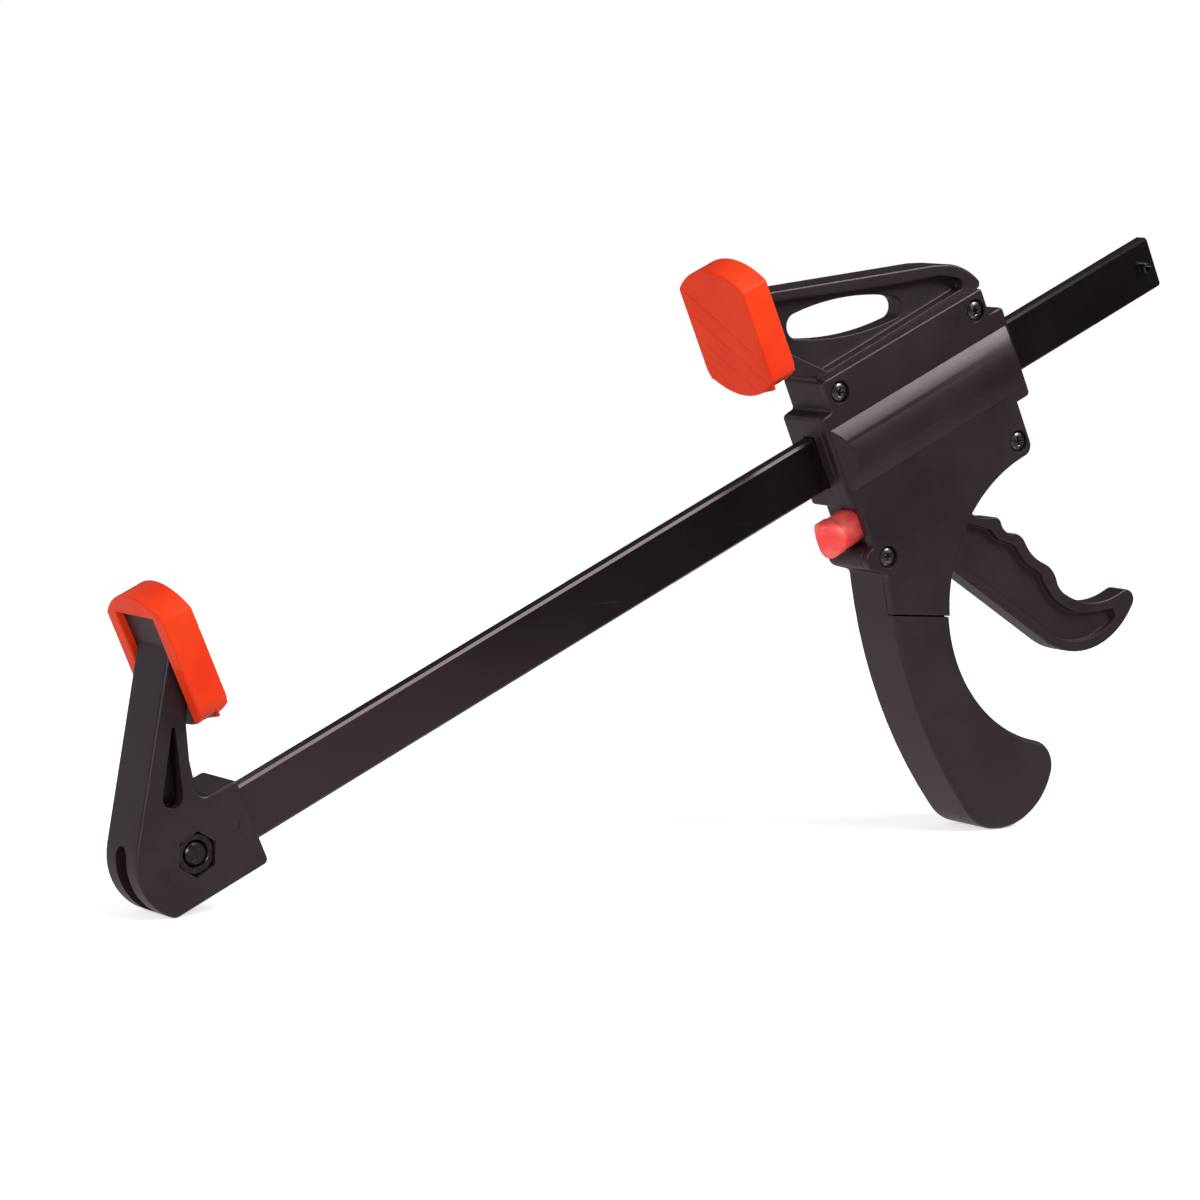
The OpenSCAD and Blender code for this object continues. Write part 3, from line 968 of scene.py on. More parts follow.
@dataclass
class FixedJaw:
    """Moulded jaw on the end of the bar, with its bolt, washer and nut."""

    width: float = 21.5
    rim: float = 1.2
    low: float = -16.1
    heel_at: Point = (-21.0, -1.9)
    heel: float = 24.4
    sole: float = 20.3
    sole_from: float = 158.8
    foot: float = 3.4
    bolt: float = 4.0
    bolt_play: float = 0.1
    shank: Point = (-10.0, 7.0)
    shank_bevel: float = 0.6
    across: float = 13.0
    nut: Point = (-9.6, -5.6)
    nut_play: float = 0.4
    nut_bevel: Point = (7.7, 0.8)
    sink: Place = (1.25, -0.6, 0.9)
    washer: Point = (5.0, 6.2)
    washer_radius: float = 8.0
    washer_play: float = 0.6
    washer_edge: float = 0.2
    head_end: float = 11.5
    head_bevel: Place = (7.9, 6.2, 0.9)
    face: float = 5.0
    socket: Point = (-48.0, 23.8)
    hollow_low: Point = (-22.8, 21.3)
    hollow_tip: Point = (-13.5, 41.5)
    hollow_deep: float = 6.0
    hollow_round: Point = (3.7, 0.6)
    hollow_edge: float = 0.3
    edge: float = 0.35
    bar_half: float = 3.1
    bar_high: float = 10.1
    slot: Point = (-11.0, 8.0)
    slot_half: float = 3.6
    slot_deep: Point = (-50.0, -38.0)
    mark: float = 2.7
    mark_deep: float = 0.12
    marks: tuple[Point, ...] = ((-6.9, 2.3), (-37.0, -1.1))

    def back(self) -> Outline:
        """Side view of the heel, down to the small round that the jaw stands on.

        Returns:
            The outline, from the arm down.
        """
        turn, drop = math.radians(self.sole_from), self.heel - self.sole
        sole_at = (
            self.heel_at[0] + drop * math.cos(turn), self.heel_at[1] + drop * math.sin(turn)
        )
        foot_z = self.low + self.foot
        reach = math.sqrt((self.sole - self.foot) ** 2 - (foot_z - sole_at[1]) ** 2)
        return [
            *arc(self.heel_at, self.heel, 145.9, self.sole_from - 1.5, 3),
            *arc(sole_at, self.sole, self.sole_from + 1.5, 225, 3),
            *arc((sole_at[0] - reach, foot_z), self.foot, 229, 270, 9),
        ]

    def outline(self) -> Outline:
        """Side view: socket, arm, back and heel.

        Returns:
            The outline.
        """
        return [
            *arc((-1.4, self.low + 1.9), 1.9, 270, 360, 18),
            *arc((-1.2, 13.65), 1.7, 0, 88, 20),
            (-7.0, 15.5),
            *arc((-10.6, 18.6), 3.1, 270, 180, 12),
            (-13.8, 20.0), (-12.1, 29.3), (-8.4, 40.5), (0.5, 58.0), (0.5, 73.2), (-3.4, 67.5),
            *self.back(),
        ]

    def hollow(self, low: float, high: float, floor: float) -> Solid:
        """Cutter for the tapering hollow in one flank.

        Args:
            low: Where it starts across the jaw.
            high: Where it ends.
            floor: Which of the two is its floor, whose edge is rounded.

        Returns:
            The cutter.
        """
        rise = (self.hollow_tip[1] - self.hollow_low[1], self.hollow_tip[0] - self.hollow_low[0])
        lean, (wide, narrow) = math.degrees(math.atan2(*rise)), self.hollow_round
        drop = [
            *arc(self.hollow_low, wide, lean + 80, lean + 280, 10),
            *arc(self.hollow_tip, narrow, lean - 90, lean + 90, 30),
        ]
        return Solid.plate(drop, low, high).round(self.hollow_edge, on(1, floor), 1)

    def make_jaw(self) -> Solid:
        """Moulds the jaw.

        Returns:
            The jaw.
        """
        half = self.width / 2
        jaw = Solid.plate(self.outline(), -half, half)
        jaw.round(self.rim, ends(-half, half), 4)
        back = self.face - PAD_WALL
        jaw.add(Tongue().solid(back - Tongue().thick, back).moved(shift(z=FIXED_LIFT)))
        floor, out = half - self.hollow_deep, half + 2
        jaw.cut(self.hollow(-out, -floor, -floor), self.hollow(floor, out, floor))
        low, tip = self.hollow_low, self.hollow_tip
        for flank in (-half, half):
            corner = (low[0] - 5, flank - 0.1, low[1] - 5)
            near = inside(corner, (tip[0] + 1.5, flank + 0.1, tip[1] + 1.5))
            jaw.round(self.edge, near, 2)
        (start, stop), flank, high = self.socket, self.bar_half, self.bar_high
        jaw.cut(
            Solid.block((start, -flank, BAR_MIDDLE - high), (stop, flank, BAR_MIDDLE + high)),
            Solid.plate(hexagon(BOLT_AT, self.across + self.nut_play), -out, self.nut[1]),
            Solid.rod(self.bolt + self.bolt_play, -out, out, BOLT_AT),
            Solid.rod(self.washer_radius + self.washer_play, self.washer[0], out, BOLT_AT),
        )
        (foot, top), wide = self.slot, self.slot_half
        slot = [*arc((0.0, top), wide, 0, 180, 12), *arc((0.0, foot), wide, 180, 360, 12)]
        jaw.cut(Solid.plate(slot, *self.slot_deep, Plane.END))
        for mark in self.marks:
            jaw.cut(Solid.rod(self.mark, -half - 1, -half + self.mark_deep, mark, sides=32))
        return jaw

    def make_bolt(self) -> Solid:
        """Turns the bolt's shank and forges its hexagon head, both chamfered.

        Returns:
            The bolt.
        """
        (tip, into), radius, bevel = self.shank, self.bolt - self.bolt_play, self.shank_bevel
        low, high = self.washer[1], self.head_end
        shank = ring([(radius - bevel, tip), (radius, tip + bevel), (radius, into)])
        head = Solid.plate(hexagon(BOLT_AT, self.across), low, high)
        wide, narrow, drop = self.head_bevel
        bevelled = ring([(wide, self.washer[0]), (wide, high - drop), (narrow, high)])
        head.keep(Solid.turned(bevelled, BOLT_AT))
        return Solid.turned(shank, BOLT_AT).add(head)

    def make_washer(self) -> Solid:
        """Stamps the washer.

        Returns:
            The washer.
        """
        low, high = self.washer
        washer = Solid.rod(self.washer_radius, low, high, BOLT_AT)
        washer.cut(Solid.rod(self.bolt + 2 * self.bolt_play, low - 1, high + 0.8, BOLT_AT))
        return washer.round(self.washer_edge, ends(low, high), 2)

    def make_nut(self) -> Solid:
        """Forges the nut, chamfered outside and countersunk at its thread.

        Returns:
            The nut.
        """
        (low, high), beyond = self.nut, -4.0
        nut = Solid.plate(hexagon(BOLT_AT, self.across), low, high)
        (corner, rise), (wide, before, after) = self.nut_bevel, self.sink
        bevelled = ring([(self.across / 2, low), (corner, low + rise), (corner, beyond)])
        nut.keep(Solid.turned(bevelled, BOLT_AT))
        thread = self.bolt + self.bolt_play / 2
        sink = ring([(thread + wide, low + before), (thread, low + after), (thread, beyond)])
        return nut.cut(Solid.turned(sink, BOLT_AT))

    def build(self, shop: Shop) -> None:
        """Makes and dresses the jaw and its fixing.

        Args:
            shop: What the pieces are made with.
        """
        place, body, dark = shop.placing.clamp, "bar_jaw", Finishes.dark
        shop.hand_over(self.make_jaw(), "jaw_moulding", "fixed_jaw", body, Finishes.body, place)
        shop.hand_over(self.make_bolt(), "hexagon_bolt", "jaw_bolt", body, dark, place)
        shop.hand_over(self.make_washer(), "flat_washer", "jaw_washer", body, dark, place)
        shop.hand_over(self.make_nut(), "hexagon_nut", "jaw_nut", body, dark, place)


@dataclass
class Tongue:
    """The flat end of each jaw that its pad slips over."""

    half: float = 15.5
    thick: float = 4.9
    top: float = 78.6
    shoulder: Point = (12.5, 74.0)
    belly_at: float = 64.1
    belly: float = 28.0
    belly_arc: Point = (236.4, 303.6)

    def solid(self, low: float, high: float, grow: float = 0.0) -> Solid:
        """Makes the tongue.

        Args:
            low: Where it starts along the bar.
            high: Where it ends.
            grow: How much larger it is all round.

        Returns:
            The tongue.
        """
        half, top, (inner, height) = self.half + grow, self.top + grow, self.shoulder
        shape = [
            *arc((0.0, self.belly_at), self.belly, *self.belly_arc, 6),
            (half, height + grow), (inner, top), (-inner, top), (-half, height + grow),
        ]
        return Solid.plate(shape, low, high, Plane.END)


# ---------------------------------------------------------------- pads


class Flank(Enum):
    """The side of the bar that a pad's small tab sits on."""

    FRONT = -1
    BACK = 1


@dataclass
class Pad:
    """Soft pad with its clamping face at x = 0, the jaw behind it."""

    width: float = 37.6
    thick: float = 11.7
    top: float = 84.8
    crown: float = 26.8
    belly: float = 28.0
    foot: float = 35.9
    shoulder: float = 60.0
    upper_corner: float = 0.7
    lower_corner: float = 3.2
    rim: float = 0.8
    window: float = 12.5
    window_top: float = 77.5
    window_foot: float = 30.0
    window_deep: Point = (-0.6, 8.9)
    mouth: float = 0.4
    flare: float = 1.064
    flare_at: float = 65.0
    flare_deep: float = 0.8
    pocket: Point = (15.6, 42.0)
    play: float = 0.1
    tab_run: Point = (4.0, 14.0)
    tab_rise: float = 2.0
    tab_deep: Point = (2.6, 3.8)
    tab_edge: float = 0.3
    groove: float = 0.22
    groove_run: Point = (-70.0, 10.0)
    grooves: tuple[float, ...] = (50.3, 59.9, 69.5, 79.1)
    groove_lean: float = 38.7

    def outline(self) -> Outline:
        """Front view between its two flat flanks.

        Returns:
            The outline.
        """
        half = self.width / 2
        a = math.degrees(math.acos(half / self.crown))
        b = math.degrees(math.acos(half / self.belly))
        return [
            *arc((0.0, self.top - self.crown), self.crown, a, 180 - a, 4),
            *arc((0.0, self.foot + self.belly), self.belly, 180 + b, 360 - b, 4),
        ]

    def solid(self, tab: Flank) -> Solid:
        """Moulds the pad.

        Args:
            tab: The flank that the tab sits on.

        Returns:
            The pad.
        """
        half, tongue = self.width / 2, Tongue()
        pad = Solid.plate(self.outline(), 0.0, self.thick, Plane.END)
        flank = every(ends(-half, half), lengthwise)
        pad.round(self.upper_corner, every(flank, lambda a, b: a.z > self.shoulder), 3)
        pad.round(self.lower_corner, every(flank, lambda a, b: a.z < self.shoulder), 5)
        pad.round(self.rim, ends(0.0, self.thick, 0), 3, 50.0)
        front, back = PAD_WALL - self.play, PAD_WALL + tongue.thick + self.play
        below, top, mouth = self.window_foot, self.window_top, self.thick + self.mouth
        (half_pocket, pocket_top), wide = self.pocket, self.window
        start, stop = (back + deep for deep in self.window_deep)
        flare = Solid.block((mouth - self.flare_deep, -wide, below), (mouth, wide, top))
        pad.cut(
            tongue.solid(front, back, self.play),
            Solid.block((front, -half_pocket, below), (back, half_pocket, pocket_top)),
            Solid.block((start, -wide, below), (stop, wide, top)),
            flare.taper(self.flare, 0, mouth, Vector((0.0, 0.0, self.flare_at))),
        )
        pad.tidy()
        g, (start, stop) = self.groove, self.groove_run
        for height in self.grooves:
            cutter = Solid.block((-g, start, -g), (g, stop, g)).moved(swung(45, "Y"))
            spot = Matrix.Translation((0.0, half, height))
            pad.cut(cutter.moved(spot @ swung(self.groove_lean, "X")))
        (near, far), foot = self.tab_run, self.foot
        shape = [(near, foot), (far, foot + self.tab_rise), (far, pocket_top), (near, pocket_top)]
        lip = Solid.plate([(y * tab.value, z) for y, z in shape], *self.tab_deep, Plane.END)
        return pad.add(lip.round(self.tab_edge, lambda a, b: True, 2))

    def build(self, shop: Shop, head_x: float, face: float, reach: float) -> None:
        """Makes and dresses the pads of both jaws.

        Args:
            shop: What the pads are made with.
            head_x: Not used; where the head's zero lies along the bar.
            face: Where the fixed pad's clamping face lies along the bar.
            reach: How far the moving pad's face lies before the head's zero.
        """
        clamp, head, pad = shop.placing.clamp, shop.placing.head, Finishes.pad
        place = clamp @ shift(face, FIXED_LIFT) @ swung(180, "Z")
        shop.hand_over(self.solid(Flank.BACK), "fixed_pad", "fixed_jaw_pad", "bar_jaw", pad, place)
        place = head @ shift(-reach, MOVING_LIFT)
        shop.hand_over(self.solid(Flank.FRONT), "moving_pad", "moving_jaw_pad", "head", pad, place)


# ---------------------------------------------------------------- head


@dataclass
class Head:
    """Sliding head: body moulding with arm and grip, cover and its screws."""

    width: float = 23.5
    cover: float = 3.75
    bulge_high: float = 15.1
    bulge_half: float = 12.4
    bulge: float = 26.4
    bulge_run: Place = (1.5, 7.0, 88.5, 90.5)
    arm: float = 8.0
    hollow: float = 12.4
    hollow_run: Point = (29.0, 82.5)
    field: float = 4.0
    reach: float = 19.5
    pivot: Point = (38.0, -40.0)
    pin: float = 2.52
    button_z: float = -28.2
    button: float = 6.95
    button_run: Point = (0.0, 12.0)
    bar_half: float = 3.2
    bar_high: float = 10.3
    bar_run: Point = (-1.0, 99.0)
    gap: float = 0.5
    palm: float = 56.6
    grip_top: float = -46.0
    marks: tuple[Point, ...] = ((67.5, 38.6), (0.4, 47.2))
    mark: float = 2.6
    mark_deep: float = 0.15
    arm_edge: float = 0.9
    field_edge: float = 0.5
    hole_edge: float = 0.6
    body_edge: float = 0.9
    grip_edge: float = 2.0
    cover_edge: float = 0.8
    seam_edge: float = 0.3
    recess_edge: float = 0.35
    crest_edge: float = 0.45
    screws: tuple[Point, ...] = ((11.5, 23.2), (80.0, 23.3), (80.3, -30.2), (8.4, -41.8))
    screw_seat: float = 2.2
    screw_high: float = 2.0
    screw_dome: float = 8.9
    screw_cross: Point = (0.55, 2.0)
    screw_floor: float = -0.6
    screw_edge: float = 0.12
    screw_turn: float = 20.0
    recess: float = 4.1
    bore: float = 1.52
    bore_end: float = 4.0
    cover_bore: float = 1.6
    body_front: float = 5.5
    cover_front: float = 3.5
    lever_half: float = 5.4
    split_from: Point = (-30.0, -45.5)
    split_to: Point = (120.0, -126.3)
    rooms: tuple[tuple[Point, Point], ...] = (
        ((8.0, -37.0), (27.0, 16.5)), ((29.0, -30.0), (56.0, 16.5))
    )
    lever_room: tuple[Point, ...] = (
        (29.2, -29.0), (29.2, -46.0), (26.3, -56.0), (25.8, -64.0), (26.6, -72.0),
        (60.0, -72.0), (62.0, -60.0), (62.0, -38.0), (47.0, -29.0),
    )

    @property
    def side(self) -> float:
        """Half the width of the head."""
        return self.width / 2

    @property
    def split(self) -> float:
        """Where cover and body meet, as a distance from the middle."""
        return self.side - self.cover

    def outline(self, front: float) -> Outline:
        """Side view of head and grip.

        Args:
            front: Where the wall behind the button lies.

        Returns:
            The outline.
        """
        palm = (79.9, -36.7 - self.palm)
        return [
            *arc((189.25, -97.75), 190.0, 165.8, 194.9, 3),
            *arc((23.87, -143.56), 18.38, 198.5, 236.5, 5),
            *arc((27.77, -137.18), 25.86, 240, 319, 4),
            *arc((40.0, -146.91), 10.23, 325, 410, 5),
            *arc(palm, self.palm, 232.5, 90, 3),
            *arc((81.5, -32.7), 4.0, 270, 360, 12),
            (85.5, -16.5),
            *arc((90.4, -14.9), 1.6, 270, 360, 22.5),
            *arc((90.4, 17.9), 1.6, 0, 90, 22.5),
            (85.5, 19.5),
            *arc((84.0, 28.5), 1.5, 0, 90, 22.5),
            *arc((7.0, 28.5), 1.5, 90, 180, 22.5),
            *arc((4.5, 19.0), 1.0, 0, -81, 27),
            *arc((1.6, 16.1), 1.6, 95, 180, 21),
            *arc((1.6, -17.1), 1.6, 180, 262, 21),
            (front, -19.0),
            (front, -35.3),
            *arc((3.4, -40.1), 4.6, 95, 225, 10),
            *arc((2.7, -49.0), 2.9, 58, 0, 15),
        ]

    def over(self, spot: Vector) -> float:
        """How far a place lies above the cover's lower edge.

        Args:
            spot: The place.

        Returns:
            The height over that edge, in millimetres.
        """
        (x, z), (far, deep) = self.split_from, self.split_to
        return spot.z - z + (spot.x - x) * (z - deep) / (far - x)

    def below(self, low: float, high: float) -> Solid:
        """Cutter for all below the cover's lower edge and for the narrow gap under it.

        Args:
            low: Where it starts across the head.
            high: Where it ends.

        Returns:
            The cutter.
        """
        (x, z), (far, deep), depth = self.split_from, self.split_to, -190.0
        line = [(x, z + self.gap), (x, depth), (far, depth), (far, deep + self.gap)]
        return Solid.plate(line, low, high)

    def above(self, low: float, high: float) -> Solid:
        """Cutter for all above the cover's lower edge.

        Args:
            low: Where it starts across the head.
            high: Where it ends.

        Returns:
            The cutter.
        """
        start, stop, top = self.split_from, self.split_to, 60.0
        return Solid.plate([start, stop, (stop[0], top), (start[0], top)], low, high)

    def bulge_solid(self) -> Solid:
        """Makes the bulge over the spring, on the cover's side.

        Returns:
            The bulge.
        """
        mid = self.bulge - self.bulge_high
        swing = math.degrees(math.asin(self.bulge_half / self.bulge))
        section = [
            *arc((mid, 0.0), self.bulge, 180 - swing, 180 + swing, 2.5),
            (-self.split, -self.bulge_half), (-self.split, self.bulge_half),
        ]
        foot, front, back, end = self.bulge_run
        bulge = Solid.plate(section, 0.0, end + 1.5, Plane.END)
        side, split, high = -self.side, -self.split, -self.bulge_high
        slopes = [
            (foot, split), (foot, side), (front, high - 0.01), (back, high - 0.01), (end, side),
            (end, split),
        ]
        wide = self.bulge_half + 1
        bulge.keep(Solid.plate(slopes, -wide, wide, Plane.TOP))
        bulge.tidy()
        near = self.bulge_half + 0.2
        crest = inside((front - 1, high - 0.1, -near), (back + 1, side - 0.3, near))
        across = every(crest, lambda a, b: abs(a.x - b.x) < 1.5)
        return bulge.round(self.crest_edge, across, 3, 20.0)

    def spring_hollow(self) -> Solid:
        """Cutter for the round hollow of the drive spring."""
        return Solid.rod(self.hollow, *self.hollow_run, (0.0, BAR_MIDDLE), Plane.END)

    def arm_solid(self) -> Solid:
        """Makes the arm of the moving jaw with its hole and the field within its rim.

        Returns:
            The arm.
        """
        shape = [
            (6.0, 20.0), (6.0, 31.0), (-10.1, 40.0), (-11.0, 44.0), (-11.0, 71.5), (56.6, 50.3),
            (71.0, 45.7),
            *arc((67.0, 21.8), 23.6, 70, 23, 5),
            (88.2, 29.3), (86.0, 28.5), (80.0, 20.0),
        ]
        hole = [
            *arc((8.3, 50.4), 4.6, 90, 238, 10), *arc((57.1, 142.1), 108.5, 243, 265.5, 2.5),
            *arc((50.4, 38.0), 4.2, 270, 416, 10), *arc((2.2, -45.3), 100.5, 60.5, 86, 2.5),
        ]
        field_shape = [
            (-9.0, 67.3), (54.0, 46.0), (71.4, 41.1), (78.4, 37.2),
            *arc((78.4, 34.2), 2.4, 50, -60, 22), (11.7, 31.2), (-0.1, 43.2), (-9.0, 48.0),
        ]
        half, web = self.arm, self.arm - self.field
        arm = Solid.plate(shape, -half, half)
        arm.round(self.arm_edge, ends(-half, half), 3)
        for low, high, floor in ((-half * 1.3, -web, -web), (web, half * 1.3, web)):
            arm.cut(Solid.plate(field_shape, low, high).round(self.arm_edge, on(1, floor), 2))
        arm.tidy()
        rim = every(ends(-half, half), inside((-9.5, -9, 30), (82, 9, 68)))
        arm.round(self.field_edge, rim, 2)
        arm.cut(Solid.plate(hole, -half - 1, half + 1)).tidy()
        rim = every(ends(-web, web), inside((3.0, -9, 33.5), (55.5, 9, 55.4)))
        arm.round(self.hole_edge, rim, 2)
        for mark in self.marks:
            arm.cut(Solid.rod(self.mark, -half - 1, -web + self.mark_deep, mark, sides=32))
        return arm

    def make_body(self) -> Solid:
        """Moulds the body: full width plate, seat of the cover, arm, then the rooms inside.

        Returns:
            The body.
        """
        side, split = self.side, self.split
        body = Solid.plate(self.outline(self.body_front), -side, side)
        body.round(self.body_edge, on(1, side), 3)
        grip = every(on(1, -side), lambda a, b: max(a.z, b.z) < self.grip_top)
        body.round(self.grip_edge, grip, 4)
        body.cut(self.above(-side - 5, -split)).tidy()
        seat = every(on(1, -split), lambda a, b: max(self.over(a), self.over(b)) > 0.5)
        body.round(self.seam_edge, seat, 1)
        bulge = self.bulge_solid().mirrored()
        body.add(bulge, self.arm_solid())
        grown = -self.reach + PAD_WALL
        tongue = Tongue().solid(grown, grown + Tongue().thick)
        body.add(tongue.moved(shift(z=MOVING_LIFT)))
        out, bar, high, lever = split + 1, self.bar_half, self.bar_high, self.lever_half
        start, stop = self.bar_run
        for low, top in self.rooms:
            body.cut(Solid.block((low[0], -out, low[1]), (top[0], split, top[1])))
        body.cut(
            Solid.plate([*self.lever_room], -lever, lever),
            self.spring_hollow(),
            Solid.block((start, -bar, BAR_MIDDLE - high), (stop, bar, BAR_MIDDLE + high)),
            Solid.rod(self.button, *self.button_run, (0.0, self.button_z), Plane.END),
            Solid.rod(self.pin, -out, split + 2, self.pivot, sides=32),
            *(Solid.rod(self.bore, -out, self.bore_end, spot, sides=24) for spot in self.screws),
        )
        return body

    def make_cover(self) -> Solid:
        """Moulds the cover with its bulge and the screw recesses.

        Returns:
            The cover.
        """
        side, split = self.side, self.split
        cover = Solid.plate(self.outline(self.cover_front), -side, -split)
        cover.cut(self.below(-side - 1, -split + 1)).tidy()
        cover.round(self.cover_edge, on(1, -side), 3)
        cover.round(self.seam_edge, on(1, -split), 1)
        cover.add(self.bulge_solid())
        cover.cut(self.spring_hollow(), Solid.rod(self.pin, -split - 2, 0.0, self.pivot))
        out, floor = -side - 1, self.screw_seat - side
        for spot in self.screws:
            cover.cut(Solid.rod(self.recess, out, floor, spot, sides=48))
            cover.cut(Solid.rod(self.cover_bore, out, 0.0, spot, sides=24))
        cover.tidy()
        near = self.recess + 0.1
        for x, z in self.screws:
            low, high = (x - near, -side - 0.01, z - near), (x + near, -side + 0.01, z + near)
            cover.round(self.recess_edge, inside(low, high), 2)
        return cover

    def make_screw(self) -> Solid:
        """Turns one pan head screw and presses its cross recess.

        Returns:
            The screw, its seat at zero.
        """
        r, turns = self.screw_dome, (0.0, 0.12, 0.24, 0.34)
        dome = [(r * math.sin(t), r - self.screw_high - r * math.cos(t)) for t in turns]
        shank = [(3.32, -1.22), (3.5, -0.85), (3.5, 0.0), (1.5, 0.0), (1.5, 11.4), (0.9, 12.0)]
        screw = Solid.turned([*dome, *shank, (0.0, 12.0)], sides=48)
        (w, h), floor = self.screw_cross, self.screw_floor
        cross = [
            (w, h), (-w, h), (-w, w), (-h, w), (-h, -w), (-w, -w), (-w, -h), (w, -h), (w, -w),
            (h, -w), (h, w), (w, w),
        ]
        punch = Solid.plate(cross, -2.6, floor)
        punch.taper(0.55, 1, floor, Vector((0.0, floor, 0.0)))
        rim = inside((-2.3, -2.2, -2.3), (2.3, -1.5, 2.3))
        return screw.cut(punch).round(self.screw_edge, rim, 1, 40)

    def make_screws(self) -> Solid:
        """Drives the four screws, each stopped at its own turn.

        Returns:
            The screws, in one mesh.
        """
        driven = []
        for x, z in self.screws:
            place = Matrix.Translation((x, self.screw_seat - self.side, z))
            driven.append(self.make_screw().moved(place @ swung(x + self.screw_turn, "Y")))
        return driven[0].joined(*driven[1:])

    def build(self, shop: Shop) -> None:
        """Makes and dresses body, cover and screws.

        Args:
            shop: What the pieces are made with.
        """
        place, body = shop.placing.head, "head"
        shop.hand_over(self.make_body(), "body_moulding", "main_body", body, Finishes.body, place)
        shop.hand_over(
            self.make_cover(), "cover_moulding", "front_cover", body, Finishes.cover, place
        )
        shop.hand_over(
            self.make_screws(), "cross_screws", "cover_screws", body, Finishes.screw, place
        )


# ---------------------------------------------------------------- trigger and button


@dataclass
class Trigger:
    """Squeeze lever, drawn along itself and turned to its lie on the head."""

    width: float = 9.6
    hollow: float = 2.4
    lie: float = -55.5
    hub: float = 7.5
    nose: float = 16.5
    nose_at: float = 158.0
    pin: float = 2.55
    rim: float = 0.6
    field_floor: float = 0.7
    field_rim: float = 0.4

    def outline(self) -> Outline:
        """Side view with the finger waves.

        Returns:
            The outline.
        """
        nose = math.radians(self.nose_at)
        return [
            *arc((self.nose * math.cos(nose), self.nose * math.sin(nose)), 3.0, 248, 68, 12),
            (-8.9, 4.8),
            *arc((0.0, 0.0), self.hub, 130, 98, 8),
            (16.4, 9.4), (20.1, 9.8),
            *arc((28.6, 10.7), 3.4, 120, 53, 11),
            *arc((34.7, 17.7), 5.9, 233, 297, 10),
            *arc((41.5, 6.8), 7.0, 117.7, 63, 9),
            *arc((54.0, 27.6), 17.2, 241, 279.7, 6),
            *arc((59.7, -0.1), 11.0, 98.7, 52, 7),
            *arc((72.7, 14.8), 8.8, 232.7, 265.7, 8),
            *arc((72.8, 35.1), 29.1, 271, 328, 5),
            *arc((101.6, 18.5), 4.1, 145, 9, 12),
            *arc((75.4, 16.6), 30.3, 2.5, -90, 5),
            (19.6, -12.7),
            *arc((0.0, 0.0), self.hub, 262, 205, 8),
        ]

    def field(self) -> Outline:
        """Side view of the hollow in each flank.

        Returns:
            The outline.
        """
        return [
            (16.7, 5.3), (27.4, 8.7), (33.0, 7.5),
            *arc((41.0, 7.6), 1.8, 110, 60, 25),
            (49.2, 6.4), (58.8, 6.7),
            *arc((74.0, 28.6), 27.0, 240, 290, 8),
            (91.0, 8.2), (97.7, 12.8),
            *arc((75.0, 16.0), 26.0, -12, -84, 6),
            (22.0, -9.6),
        ]

    def make(self) -> Solid:
        """Moulds the trigger.

        Returns:
            The trigger.
        """
        half = self.width / 2
        lever = Solid.plate(self.outline(), -half, half)
        lever.round(self.rim, ends(-half, half), 3)
        floor, out = half - self.hollow, half * 1.4
        for low, high, bed in ((-out, -floor, -floor), (floor, out, floor)):
            field = Solid.plate(self.field(), low, high)
            lever.cut(field.round(self.field_floor, on(1, bed), 2))
        lever.cut(Solid.rod(self.pin, -half - 1, half + 1, sides=40)).tidy()
        edge = every(ends(-half, half), inside((15.5, -9, -14), (101, 9, 14)))
        return lever.round(self.field_rim, edge, 2)

    def build(self, shop: Shop, pivot: Point) -> None:
        """Makes and dresses the trigger.

        Args:
            shop: What it is made with.
            pivot: Its pivot on the head.
        """
        place = shop.placing.head @ shift(*pivot) @ swung(-self.lie, "Y")
        shop.hand_over(self.make(), "trigger_lever", "trigger", "trigger", Finishes.body, place)


